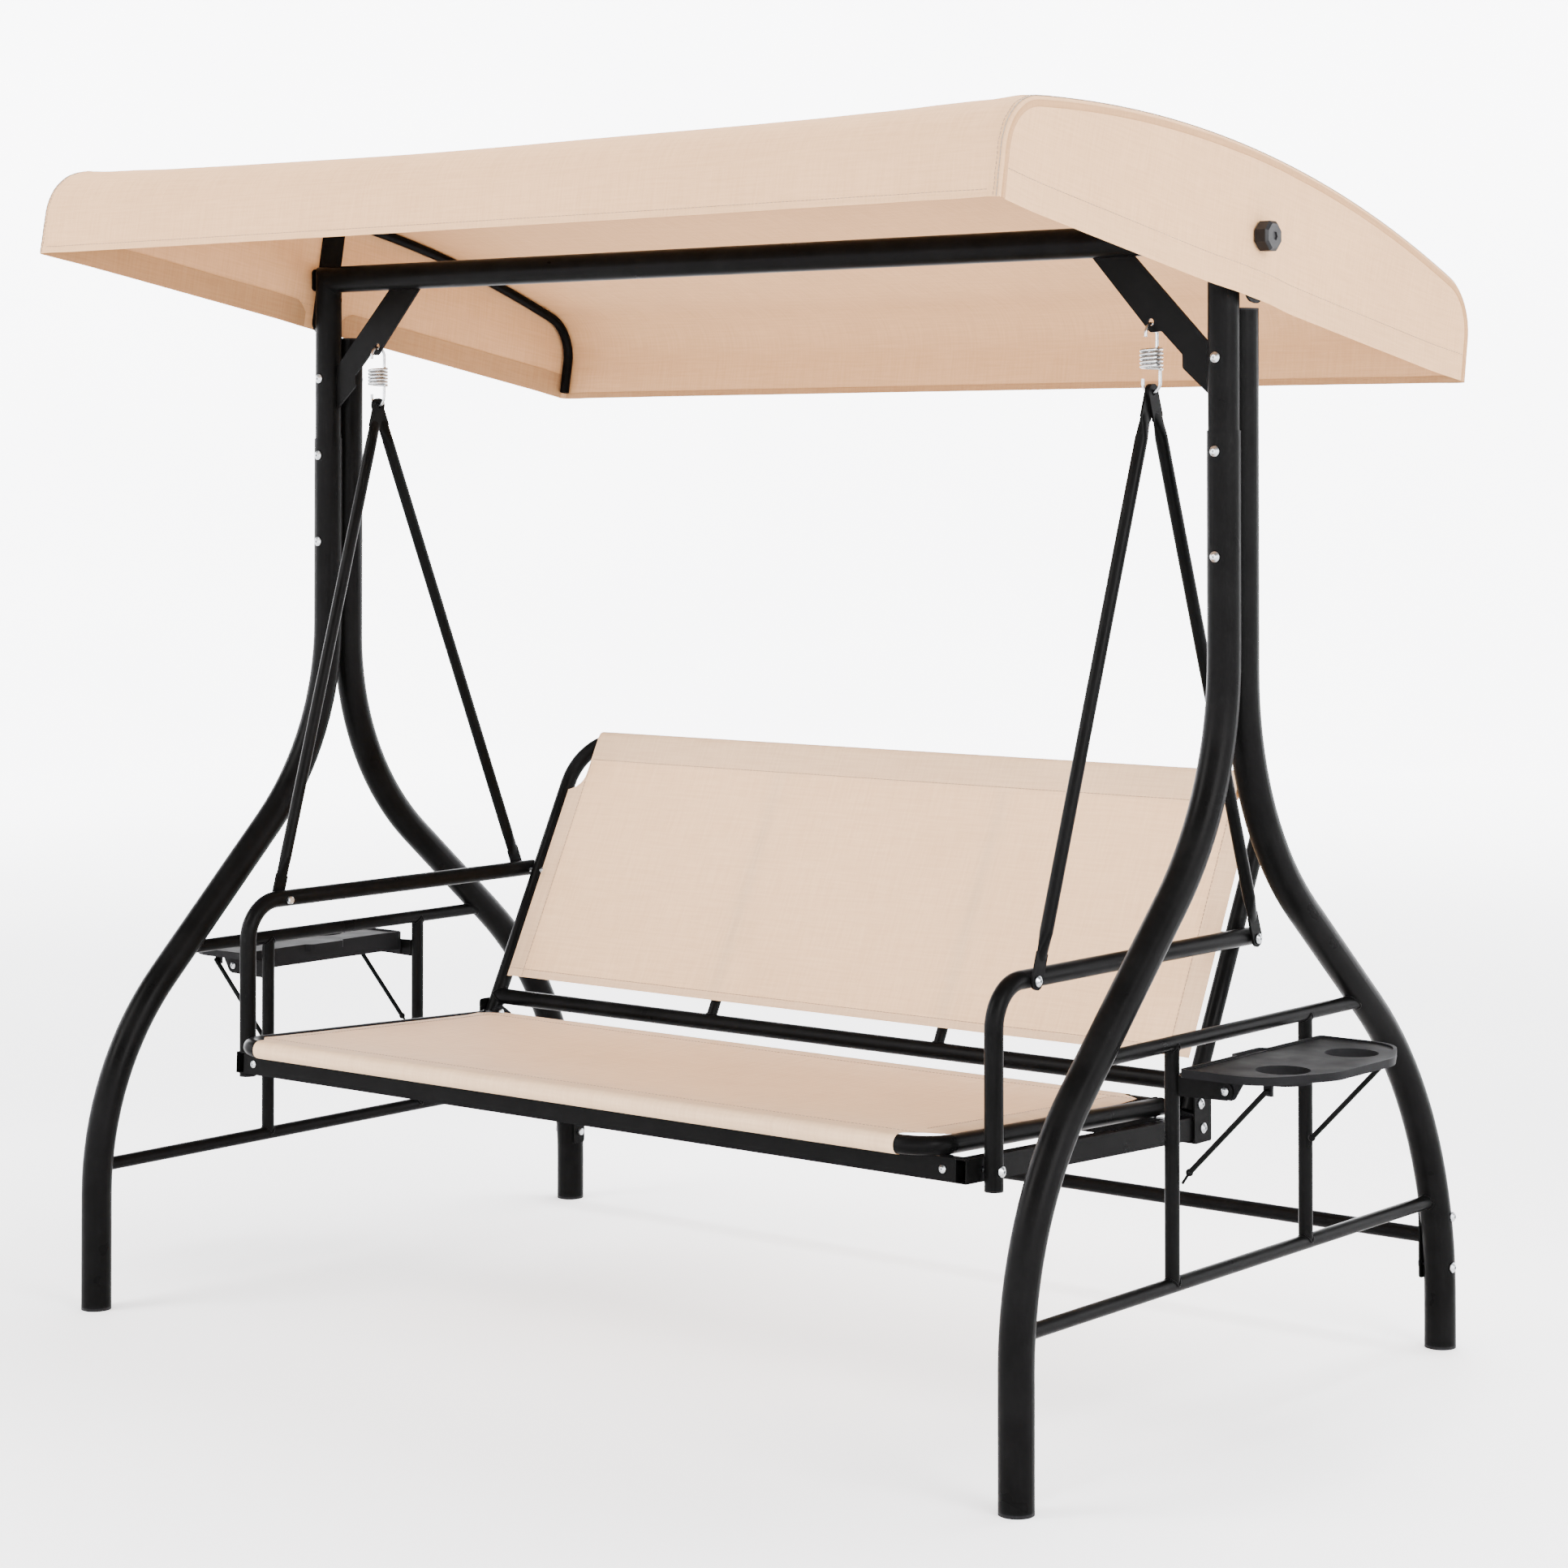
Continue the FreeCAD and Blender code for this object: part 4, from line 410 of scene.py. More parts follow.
def make_finishes():
    """Every finish of the swing, by name: the frame's slots, the folded canvas and the thread."""
    look = bpy.context.scene.swing_finish
    return {
        # Mild steel tube, satin polyester powder coat: nearly black, broad soft highlights, a fine orange peel
        # that is drawn at 4 mm because its real 1 to 2 mm is too fine to show.
        "black_steel": coated_metal_or_plastic("satin_powder_coated_steel", look.steel, 1.5, 0.32, 0.004,
                                               0.0002, specular=0.02),
        # Steel bolts, bright zinc plate: a cool grey metal, slightly clouded.
        "zinc_fasteners": coated_metal_or_plastic("bright_zinc_plated_steel", look.zinc, 0.75, 0.30, 0.002,
                                                  0.0001, metallic=1.0, lump=0.006),
        # Drawn spring wire, zinc plate: brighter along the wire, faint drawing marks.
        "zinc_spring": coated_metal_or_plastic("zinc_plated_spring_wire", look.zinc, 0.65, 0.26, 0.0015, 0.0001,
                                               metallic=1.0, lump=0.010),
        # Moulded polyethylene plugs: matt black, a spark-eroded grain drawn at 2 mm.
        "cap_plastic": coated_metal_or_plastic("moulded_polyethylene", look.plastic, 1.6, 0.55, 0.002, 0.0002,
                                               specular=0.08),
        # Moulded ABS knobs: black with tighter highlights on the flats.
        "knob_plastic": coated_metal_or_plastic("moulded_black_abs", look.plastic, 1.3, 0.42, 0.0015, 0.0001,
                                                specular=0.12, lump=0.02),
        # Moulded polypropylene trays: charcoal, leather-fine grain that greys the top at low angles.
        "tray_plastic": coated_metal_or_plastic("grained_polypropylene", "#0C0C0D", 1.4, 0.60, 0.003, 0.0003,
                                                specular=0.04, lump=0.05),
        # Plain-woven 180 g polyester canvas: matt beige, faint slubs, warm where light comes through. Its threads
        # are 0.5 mm apart and are drawn at 2.5 mm so that the weave shows.
        "canopy_cloth": woven("polyester_canvas", look.canopy, 0.93, 0.0025, 0.09, "#A86C38", 0.13, 0.02, 0.82,
                              0.08),
        # The same canvas folded on itself in hems and seams: little light comes through, and its colour is set
        # darker too, because a fold's own shade is too faint to show.
        "canopy_doubled": woven("folded_polyester_canvas", "#9C7753", 0.93, 0.0025, 0.04, "#8A5A34", 0.13, 0.02,
                                0.82, 0.08),
        # PVC-coated polyester sling fabric: smoother and a little warmer, threads 1 mm apart drawn at 3 mm.
        "sling_mesh": woven("pvc_coated_sling_weave", look.sling, 0.94, 0.0030, 0.24, "#A0682F", 0.13, 0.03,
                            0.62),
        # Bonded polyester sewing thread, a shade darker than the cloth.
        "thread": coated_metal_or_plastic("bonded_polyester_thread", "#7E6F60", 0.8, 0.6, 0.0008, 0.0001,
                                          specular=0.3, lump=0.004),
    }


FINISHES = {}


def finish_of(slot):
    if not FINISHES:
        FINISHES.update(make_finishes())
    return FINISHES[slot]


# ---------------------------------------------------------------- canopy


class Canopy:
    """Shape of the canopy cloth, shared by the cover, its hems and its seams."""

    def __init__(self, props):
        self.props = props
        self.path, self.reach = rounded(CANOPY_CORNERS, CANOPY_RADII, CANOPY_STEP)
        self.middle = np.array([0.0, 0.03])
        self.normals = [outward(self.path, i, self.middle) for i in range(len(self.path))]
        self.long = float(self.reach[-1])

    def roof(self, x, index, lift=0.0):
        """A point of the strip that runs from front hem over the roof to rear hem."""
        props = self.props
        across = abs(x) / CANOPY_HALF_WIDE
        place = self.reach[index]
        from_hem = min(place, self.long - place)
        sag = props.roof_sag * (1 - across ** 2) * (0.25 + 0.75 * smooth((from_hem - 0.05) / 0.20))
        edge = CANOPY_HALF_WIDE - abs(x)
        turn = CANOPY_EDGE - math.sqrt(max(0.0, CANOPY_EDGE ** 2 - max(0.0, CANOPY_EDGE - edge) ** 2))
        fade = math.exp(-edge / 0.13) * smooth(edge / 0.02) * smooth((0.30 - from_hem) / 0.12)
        # folds only rise: one that dipped would cut into the arch below
        wave = 0.5 + 0.5 * math.sin(2 * math.pi * (from_hem + edge * 0.25) / 0.036 + (1.3 if x > 0 else 0.2))
        soft = noise.noise(Vector((x * 2.3, place * 5.0, 3.7 if place < self.long / 2 else 8.1)))
        fold = props.pucker * (fade * wave + soft * 0.5 * smooth(edge / 0.05))
        along, up = self.path[index] + self.normals[index] * (fold - sag - turn + lift)
        return canopy_point(x, along, up)

    def hem_place(self, index):
        """Where on the straight hem line of a side panel a point of the path looks to."""
        half = CANOPY_CORNERS[-1][0]
        share = self.reach[index] / self.long
        return np.array([-half + 2 * half * share, CANOPY_CORNERS[0][1]])

    def side(self, side, index, share, lift=0.0):
        """A point of a side panel, from its hem at 0 to the roof seam at 1."""
        rim = self.path[index] - self.normals[index] * CANOPY_EDGE
        return self.side_at(side, self.hem_place(index) * (1 - share) + rim * share, lift)

    def side_at(self, side, flat, lift=0.0):
        """A point of a side panel from its place on the panel's flat cut."""
        props = self.props
        gap = float(np.min(np.linalg.norm(self.path - flat, axis=1)))
        drawn = props.side_sag * smooth(gap / 0.11) * smooth((abs(flat[0]) - 0.030) / 0.10)
        soft = noise.noise(Vector((flat[0] * 5.0, flat[1] * 6.0, 1.9 * side)))
        clear = smooth((abs(flat[0]) - 0.035) / 0.06)
        ripple = 0.0016 * soft * smooth(gap / 0.03) * clear
        low = flat[1] - CANOPY_CORNERS[0][1]
        ridge = 0.0006 * math.exp(-((low - props.side_hem) / 0.004) ** 2)
        over_strip = 0.0008 * (1 - clear)
        x = CANOPY_HALF_WIDE - drawn + ripple + over_strip - 0.0005 - ridge + lift
        return canopy_point(side * x, flat[0], flat[1])


def columns_across():
    """Places across the roof, close together beside the seams."""
    edge = [0.0, 0.0006, 0.0018, 0.0035, 0.006, 0.010, 0.016, 0.024, 0.034, 0.046, 0.060, 0.078, 0.098, 0.122,
            0.15]
    inner = list(np.linspace(0, CANOPY_HALF_WIDE - 0.17, 34))
    half = inner + [CANOPY_HALF_WIDE - e for e in reversed(edge)]
    return [-x for x in reversed(half[1:])] + half


def make_canopy_cover(shape):
    """Roof, valances and both side panels sewn into one continuous curved sheet."""
    columns = columns_across()
    count = len(shape.path)
    points, cut = [], []
    for index in range(count):
        for x in columns:
            points.append(shape.roof(x, index))
            cut.append((x, shape.reach[index]))
    faces = grid_faces(count, len(columns))
    shares = [0.0, 0.08, 0.17, 0.27, 0.38, 0.50, 0.62, 0.74, 0.85, 0.93, 0.975]
    for _, side in SIDES:
        start = len(points)
        for index in range(count):
            for share in shares:
                points.append(shape.side(side, index, share))
                spot = shape.hem_place(index) * (1 - share) + shape.path[index] * share
                cut.append((spot[0] + side * 3, spot[1]))

        def pivot_hole(row, column, start=start, side=side):
            where = [np.array(cut[start + (row + i) * len(shares) + column + j]) for i in (0, 1) for j in (0, 1)]
            middle = sum(where) / 4
            return math.hypot(middle[0] - side * 3, middle[1]) < 0.008

        faces += grid_faces(count, len(shares), start, side > 0, pivot_hole)
        seam = len(columns) - 1 if side > 0 else 0
        for index in range(count - 1):
            a = start + index * len(shares) + len(shares) - 1
            b = index * len(columns) + seam
            quad = (a, b, b + len(columns), a + len(shares))
            faces.append(quad if side < 0 else quad[::-1])
    return new_piece("canopy_cover_cloth", points, faces, finish_of("canopy_cloth"), cut)


def make_canopy_hems(shape):
    """Folded inner plies: wide ones on the side panels, open at the strips, and narrow ones front and rear."""
    props = shape.props
    low = CANOPY_CORNERS[0][1]
    half = CANOPY_CORNERS[-1][0]
    grids, cut = [], []
    for _, side in SIDES:
        for start, end in ((-half + 0.008, -STRIP_GAP), (STRIP_GAP, half - 0.008)):
            steps = int((end - start) / 0.012) + 1
            rows = []
            for along in np.linspace(start, end, steps + 1):
                notch = 0.018 * (1 - smooth((abs(along) - STRIP_GAP) / 0.020))
                for share in (0.0, 0.25, 0.5, 0.75, 1.0):
                    tall = 0.0012 + share * (props.side_hem - notch)
                    rows.append(shape.side_at(side, np.array([along, low + tall]), -0.0016))
                    cut.append((along + side * 5, tall))
            grids.append((rows, grid_faces(steps + 1, 5)))
    xs = [x for x in columns_across() if abs(x) < CANOPY_HALF_WIDE - 0.009]
    indices = list(range(1 + int(round(props.front_hem / shape.reach[1]))))
    for ends in (indices, [len(shape.path) - 1 - i for i in indices]):
        rows = []
        for index in ends:
            for x in xs:
                rows.append(shape.roof(x, index, -0.0015))
                cut.append((x, 7 + shape.reach[index]))
        grids.append((rows, grid_faces(len(ends), len(xs))))
    points, faces = gather(grids)
    return new_piece("canopy_hems", points, faces, finish_of("canopy_doubled"), cut)


def make_canopy_seams(shape):
    """Turned seam allowance along each side of the roof, as a raised welt."""
    parts, cut = [], []
    for _, side in SIDES:
        rows, count = [], len(shape.path)
        for index in range(count):
            for inset, lift in ((0.0055, 0.0002), (0.0065, 0.0017), (0.0105, 0.0019), (0.0145, 0.0016),
                                (0.0155, 0.0001)):
                flat = shape.path[index] - shape.normals[index] * inset
                flat[1] = max(flat[1], CANOPY_CORNERS[0][1] + 0.0002)
                rows.append(shape.side_at(side, flat, lift))
                cut.append((inset, shape.reach[index]))
        parts.append((rows, grid_faces(count, 5, 0, side > 0)))
    points, faces = gather(parts)
    return new_piece("canopy_seam_welts", points, faces, finish_of("canopy_doubled"), cut)


def make_canopy_stitching(shape):
    """Top stitching: beside the corner seams, along the front and rear hems, and along the side hems."""
    props = shape.props
    paths = []
    last = len(shape.path) - 1
    for _, side in SIDES:
        x = side * (CANOPY_HALF_WIDE - 0.009)
        paths.append([shape.roof(x, index, 0.0005) for index in range(last + 1)])
        line = CANOPY_CORNERS[0][1] + props.side_hem - 0.002
        alongs = np.linspace(-0.648, 0.648, 120)
        paths.append([shape.side_at(side, np.array([along, line]), 0.0006) for along in alongs])
    xs = [x for x in columns_across() if abs(x) < CANOPY_HALF_WIDE - 0.012]
    near = int(round(props.front_hem / shape.reach[1]))
    for index in (near, last - near):
        paths.append([shape.roof(x, index, 0.0005) for x in xs])
    # the corner seams' own thread, drawn longer and thicker than it is so that it shows as one fine line
    seams = [[shape.roof(side * (CANOPY_HALF_WIDE - 0.004), index, 0.0007) for index in range(last + 1)]
             for _, side in SIDES]
    points, faces = gather([stitches(paths), stitches(seams, 0.010, 0.0010, 0.0008)])
    return new_piece("canopy_stitching", points, faces, finish_of("thread"))


# ---------------------------------------------------------------- slings


def sling_seat_path():
    """Side view of the seat sling: under the front tube, round it, across, and round the rear tube."""
    skin = TUBE + SKIN
    points = []
    for angle in np.linspace(-70, -268, 20):
        turn = math.radians(angle)
        points.append((skin * math.cos(turn), skin * math.sin(turn)))
    for along in np.linspace(0.010, SEAT_REAR - 0.010, 56):
        points.append((along, skin + 0.00005))
    for angle in np.linspace(88, -110, 20):
        turn = math.radians(angle)
        points.append((SEAT_REAR + skin * math.cos(turn), skin * math.sin(turn)))
    return points


def seat_half_width(along):
    """Half width of the seat sling: narrow on the front and rear tubes, full beside the side tubes."""
    wider = SEAT_HALF - SEAT_HALF_ENDS
    if along < 0.012 or along > SEAT_REAR - 0.010:
        return SEAT_HALF_ENDS
    if along < 0.062:
        return SEAT_HALF_ENDS + wider * math.sin((along - 0.012) / 0.050 * math.pi / 2) ** 0.9
    if along > SEAT_REAR - 0.030:
        return SEAT_HALF_ENDS + wider * smooth((SEAT_REAR - 0.010 - along) / 0.020)
    return SEAT_HALF


def seat_inside(along):
    """0 at the front and rear tubes and 1 between them."""
    return smooth(along / SEAT_FADE) * smooth((SEAT_REAR - along) / SEAT_FADE)


def seat_dip(props, share, along):
    """Sag of the seat sling at a share of its half width."""
    bow = math.sin(math.pi * min(1, max(0, along / SEAT_REAR)))
    return props.seat_sag * seat_inside(along) * (1 - abs(share) ** 2.2) * bow


def seat_tuck(x, along):
    """How far the sling's edge turns down beside the side tube."""
    return 0.004 * seat_inside(along) * smooth((abs(x) - 0.690) / 0.0145)


def make_seat_sling(props):
    """Seat sling wrapped round the front and rear tubes and dipped between the side tubes."""
    path = sling_seat_path()
    shares = list(np.concatenate([[-1, -0.996, -0.99, -0.98, -0.965], np.linspace(-0.945, 0.945, 43),
                                  [0.965, 0.98, 0.99, 0.996, 1]]))
    points, cut, reach = [], [], 0.0
    for index, (along, up) in enumerate(path):
        if index:
            reach += math.dist(path[index - 1], path[index])
        half = seat_half_width(along)
        for share in shares:
            x = half * share
            soft = noise.noise(Vector((x * 3.1, along * 6.0, 5.5))) * 0.0012 * seat_inside(along)
            drop = seat_tuck(x, along) + seat_dip(props, share, along)
            points.append(seat_point(x, along, up - drop + soft * (1 - abs(share))))
            cut.append((x, reach))
    faces = grid_faces(len(path), len(shares))
    sling = new_piece("seat_sling_cloth", points, faces, finish_of("sling_mesh"), cut)
    # side hem plies under the edges
    steps = np.linspace(0.066, SEAT_REAR - 0.034, 60)
    parts, hem_cut = [], []
    for _, side in SIDES:
        rows = []
        for along in steps:
            for inner in (0.7035, 0.690, 0.675, 0.6645):
                drop = seat_tuck(inner, along) + seat_dip(props, inner / SEAT_HALF, along)
                rows.append(seat_point(side * inner, along, TUBE + SKIN - 0.0012 - drop))
                hem_cut.append((side * inner, along))
        parts.append((rows, grid_faces(len(steps), 4)))
    points, faces = gather(parts)
    hems = new_piece("seat_sling_hems", points, faces, finish_of("sling_mesh"), hem_cut)
    # stitch lines that hold the side hems, and the tunnels round the front and rear tubes
    seam = 0.668
    paths = [[seat_point(side * seam, along, TUBE + 0.0016 - seat_dip(props, seam / SEAT_HALF, along))
              for along in steps] for _, side in SIDES]
    for along in (0.026, SEAT_REAR - 0.040):
        half = seat_half_width(along) - 0.004
        paths.append([seat_point(x, along, TUBE + 0.0017 - seat_dip(props, x / half, along))
                      for x in np.linspace(-half, half, 60)])
    points, faces = stitches(paths)
    thread = new_piece("seat_sling_stitching", points, faces, finish_of("thread"))
    return sling, hems, thread


def back_half_width(up):
    """Half width of the backrest sling, with a round notch at each upper corner."""
    radius = BACK_HALF - BACK_HALF_TOP
    if up <= BACK_NOTCH:
        return BACK_HALF
    if up >= BACK_NOTCH + radius:
        return BACK_HALF_TOP
    return BACK_HALF - math.sqrt(radius ** 2 - (BACK_NOTCH + radius - up) ** 2)


def back_dip(props, x, up):
    """Rearward sag of the backrest sling, resting on its stays."""
    wide = 1 - (abs(x) / BACK_HALF) ** 2.4
    tall = smooth((BACK_TALL - up) / 0.16) * (0.55 + 0.45 * smooth((up - BACK_LOW) / 0.15))
    return props.back_sag * wide * tall


def sling_back_path():
    """Side view of the backrest sling: up the front, over the top tube and down behind.

    Each point is rearward, up, and the height that its width is taken from.
    """
    radius = BACK_HALF - BACK_HALF_TOP
    heights = list(np.linspace(BACK_LOW, BACK_NOTCH, 34))
    heights += [BACK_NOTCH + radius - radius * math.cos(math.radians(angle))
                for angle in (6, 14, 24, 36, 48, 60, 72, 82, 90)]
    heights += list(np.linspace(BACK_NOTCH + radius + 0.008, BACK_TALL, 8))
    points = [(BACK_FACE, up, up) for up in heights]
    for angle in np.linspace(170, 0, 16):
        turn = math.radians(angle)
        points.append((-BACK_FACE * math.cos(turn), BACK_TALL - BACK_FACE * math.sin(turn), BACK_TALL))
    for share in np.linspace(0.15, 1, 7):
        points.append((-BACK_FACE - share * 0.026, BACK_TALL - 0.048 * share, BACK_TALL))
    return points


def make_back_sling(props):
    """Backrest sling, its side and lower hems, the flap behind the top tube and its stitching."""
    path = sling_back_path()
    shares = list(np.concatenate([[-1, -0.997, -0.99, -0.98], np.linspace(-0.955, 0.955, 45),
                                  [0.98, 0.99, 0.997, 1]]))
    points, cut, reach = [], [], 0.0
    for index, (rearward, up, level) in enumerate(path):
        if index:
            reach += math.dist(path[index - 1][:2], path[index][:2])
        half = back_half_width(level)
        for share in shares:
            x = half * share
            dip = back_dip(props, x, level) if rearward <= BACK_FACE + 1e-6 else 0.0
            tuck = 0.003 * smooth((abs(x) - 0.722) / 0.011)
            soft = noise.noise(Vector((x * 2.7, level * 5.0, 2.2))) * 0.0009
            points.append(back_point(x, rearward + dip + tuck + soft * (1 - abs(share)) * (dip > 0), up))
            cut.append((x, reach))
    faces = grid_faces(len(path), len(shares))
    sling = new_piece("back_sling_cloth", points, faces, finish_of("sling_mesh"), cut)
    grids, hem_cut = [], []
    ups = [up for _, up, level in path if up < BACK_TALL - 0.052 and up == level]
    for _, side in SIDES:
        rows = []
        for up in ups:
            outer = back_half_width(up) - 0.0015
            inner = BACK_HALF - props.sling_hem
            for share in (0.0, 0.3, 0.6, 1.0):
                x = outer + (min(inner, outer - 0.006) - outer) * share
                tuck = 0.003 * smooth((x - 0.722) / 0.011)
                rows.append(back_point(side * x, BACK_FACE + 0.0013 + back_dip(props, x, up) + tuck, up))
                hem_cut.append((side * x, up))
        grids.append((rows, grid_faces(len(ups), 4)))
    rows = []
    across = np.linspace(-BACK_HALF + 0.0395, BACK_HALF - 0.0395, 60)
    for up in (BACK_LOW + 0.0005, BACK_LOW + 0.008, BACK_LOW + 0.016):
        for x in across:
            rows.append(back_point(x, BACK_FACE + 0.0014 + back_dip(props, x, up), up))
            hem_cut.append((x, up))
    grids.append((rows, grid_faces(3, len(across))))
    points, faces = gather(grids)
    hems = new_piece("back_sling_hems", points, faces, finish_of("sling_mesh"), hem_cut)
    paths = []
    lift = 0.0009
    for _, side in SIDES:
        x = BACK_HALF - props.sling_hem + 0.002
        paths.append([back_point(side * x, BACK_FACE + back_dip(props, x, up) - lift, up) for up in ups])
    for up in (BACK_LOW + 0.015, BACK_TALL - 0.046):
        half = back_half_width(up) - 0.003
        paths.append([back_point(x, BACK_FACE + back_dip(props, x, up) - lift, up)
                      for x in np.linspace(-half, half, 80)])
    points, faces = stitches(paths)
    thread = new_piece("back_sling_stitching", points, faces, finish_of("thread"))
    return sling, hems, thread


# ---------------------------------------------------------------- springs and welds


def spring_wire(side):
    """Line of the wire: over through the gusset, down, round the coil and to the top of the lower hook."""
    centre = Vector((side * SPRING_X, POST_Y, 0))
    line = []
    rise = HOOK_TOP - COIL_RADIUS
    for share in np.linspace(0, 1, 4):
        line.append(centre + Vector((0, -COIL_RADIUS, rise - 0.005 + 0.005 * share)))
    for angle in np.linspace(180, 0, 22)[1:]:
        turn = math.radians(angle)
        line.append(centre + Vector((0, COIL_RADIUS * math.cos(turn), rise + COIL_RADIUS * math.sin(turn))))
    for share in np.linspace(0, 1, 6)[1:-1]:
        line.append(centre + Vector((0, COIL_RADIUS, rise + (COIL_HIGH - rise) * share)))
    steps = 190
    for step in range(steps + 1):
        share = step / steps
        turn = math.radians(90 - 360 * COIL_TURNS * share)
        line.append(centre + Vector((COIL_RADIUS * math.cos(turn), COIL_RADIUS * math.sin(turn),
                                     COIL_HIGH + (COIL_LOW - COIL_HIGH) * share)))
    return line


def make_spring(name, side):
    """Coil and upper hook of one wire."""
    points, faces = swept(spring_wire(side), WIRE, 14)
    piece = new_piece("spring_wire_" + name, points, faces, finish_of("zinc_spring"))
    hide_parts("spring_coil_" + name)
    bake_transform(piece)
    return piece


def leg_line(which):
    """Side view of a leg's centre line, from its foot to its top."""
    if which == "front":
        foot, low, top = -0.563, 0.401, -0.026
        knee = low + (top - foot)
        return rounded([(foot, 0), (foot, low), (top, knee), (top, 1.478)], [0, 0.5, 0.5, 0], 0.01)[0]
    foot, low, top = 0.629, 0.386, 0.025
    knee = low + (foot - top) / math.tan(math.radians(50))
    return rounded([(foot, 0), (foot, low), (top, knee), (top, 1.658)], [0, 0.65, 0.48, 0], 0.01)[0]


def weld_bead(centre, run, radius, other, other_run, other_radius, wide=0.0016):
    """Fillet of weld where a round tube of radius ends on the round face of another tube."""
    run, other_run = Vector(run).normalized(), Vector(other_run).normalized()
    first = run.orthogonal().normalized()
    second = run.cross(first)
    ring = []
    for turn in range(28):
        angle = 2 * math.pi * turn / 28
        spot = Vector(centre) + (first * math.cos(angle) + second * math.sin(angle)) * (radius + 0.0004)
        gap = spot - Vector(other)
        gap -= other_run * gap.dot(other_run)
        slope = run - other_run * run.dot(other_run)
        a, b = slope.dot(slope), 2 * gap.dot(slope)
        c = gap.dot(gap) - (other_radius + 0.0003) ** 2
        under = max(0.0, b * b - 4 * a * c)
        ring.append(spot + run * ((-b + math.sqrt(under)) / (2 * a)))
    lumpy = [p + run * 0.0003 * math.sin(i * 2.1) for i, p in enumerate(ring)]
    return swept(lumpy, wide, 8, closed=True)


def make_welds():
    """Weld fillets of the stand's rails and uprights, and of the seat's and backrest's cross tubes and stays."""
    stand, seat = [], []
    for _, side in SIDES:
        x = side * LEG_X
        for height in RAIL_HEIGHTS:
            for which, way in (("front", 1), ("rear", -1)):
                line = leg_line(which)
                near = int(np.argmin(abs(line[:, 1] - height)))
                run = line[near + 1] - line[near - 1]
                spot = (x, line[near][0] + run[0] * (height - line[near][1]) / run[1], height)
                stand.append(weld_bead(spot, (0, way, 0), RAIL_RADIUS, spot, (0, run[0], run[1]), LEG_RADIUS))
        for y in UPRIGHTS_Y:
            for height, way in zip(RAIL_HEIGHTS, (-1, 1)):
                spot = (x, y, height)
                stand.append(weld_bead(spot, (0, 0, way), RAIL_RADIUS, spot, (0, 1, 0), RAIL_RADIUS))
    up = back_point(0, 0, 1) - back_point(0, 0, 0)
    rearward = seat_point(0, 1, 0) - seat_point(0, 0, 0)
    for _, side in SIDES:
        low = back_point(side * 0.750, 0, 0)
        seat.append(weld_bead(low, (-side, 0, 0), TUBE, low, up, TUBE))
        stay = back_point(side * 0.245, 0, 0)
        seat.append(weld_bead(stay, up, 0.009, stay, (1, 0, 0), TUBE))
        rear = seat_point(side * 0.720, SEAT_REAR, 0)
        seat.append(weld_bead(rear, (-side, 0, 0), TUBE, rear, rearward, TUBE))
    for name, beads, rider in (("stand_welds", stand, "stand"), ("seat_welds", seat, "seat")):
        points, faces = gather(beads)
        dress([new_piece(name, points, faces, finish_of("black_steel"))], rider)


# ---------------------------------------------------------------- operators


class SWING_OT_finish_frame(bpy.types.Operator):
    """Give every tube, plate, bolt and moulding of the frame its finish"""
    bl_idname = "swing.finish_frame"
    bl_label = "Finish the frame"

    def execute(self, context):
        slots = {part["node"]: part["material_slot"] for part in frame["record"]["subparts"]}
        for name, node in frame["nodes"].items():
            material = finish_of(slots[name])
            if not node.data.materials:
                node.data.materials.append(material)
            for place in node.material_slots:
                place.material = material
        return {"FINISHED"}


class SWING_OT_canopy(bpy.types.Operator):
    """Make the canopy cloth with its hems, seam welts and stitching"""
    bl_idname = "swing.canopy"
    bl_label = "Canopy cloth"

    def execute(self, context):
        shape = Canopy(context.scene.swing_cloth)
        cover = make_canopy_cover(shape)
        extras = [make_canopy_hems(shape), make_canopy_seams(shape), make_canopy_stitching(shape)]
        dress([cover, *extras], "canopy")
        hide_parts("canopy_cover")
        return {"FINISHED"}


class SWING_OT_seat_sling(bpy.types.Operator):
    """Make the seat sling"""
    bl_idname = "swing.seat_sling"
    bl_label = "Seat sling"

    def execute(self, context):
        sling, hems, thread = make_seat_sling(context.scene.swing_cloth)
        dress([sling, hems, thread], "seat")
        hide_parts("seat_sling")
        return {"FINISHED"}


class SWING_OT_back_sling(bpy.types.Operator):
    """Make the backrest sling"""
    bl_idname = "swing.back_sling"
    bl_label = "Backrest sling"

    def execute(self, context):
        sling, hems, thread = make_back_sling(context.scene.swing_cloth)
        dress([sling, hems, thread], "seat")
        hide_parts("back_sling")
        return {"FINISHED"}


class SWING_OT_springs(bpy.types.Operator):
    """Make both coil springs"""
    bl_idname = "swing.springs"
    bl_label = "Springs"

    def execute(self, context):
        for name, side in SIDES:
            make_spring(name, side)
        return {"FINISHED"}


class SWING_OT_welds(bpy.types.Operator):
    """Lay the weld fillets where tubes meet"""
    bl_idname = "swing.welds"
    bl_label = "Welds"

    def execute(self, context):
        make_welds()
        return {"FINISHED"}


def area_light(name, place, aim, size, power, tint):
    """A large soft light that points at aim."""
    data = bpy.data.lights.new(name, "AREA")
    data.shape, data.size = "SQUARE", size
    data.energy, data.color = power, tint
    light = bpy.data.objects.new(name, data)
    bpy.context.scene.collection.objects.link(light)
    light.location = place
    light.rotation_mode = "QUATERNION"
    light.rotation_quaternion = (Vector(aim) - Vector(place)).to_track_quat("-Z", "Y")
    light.visible_camera = False
    return light


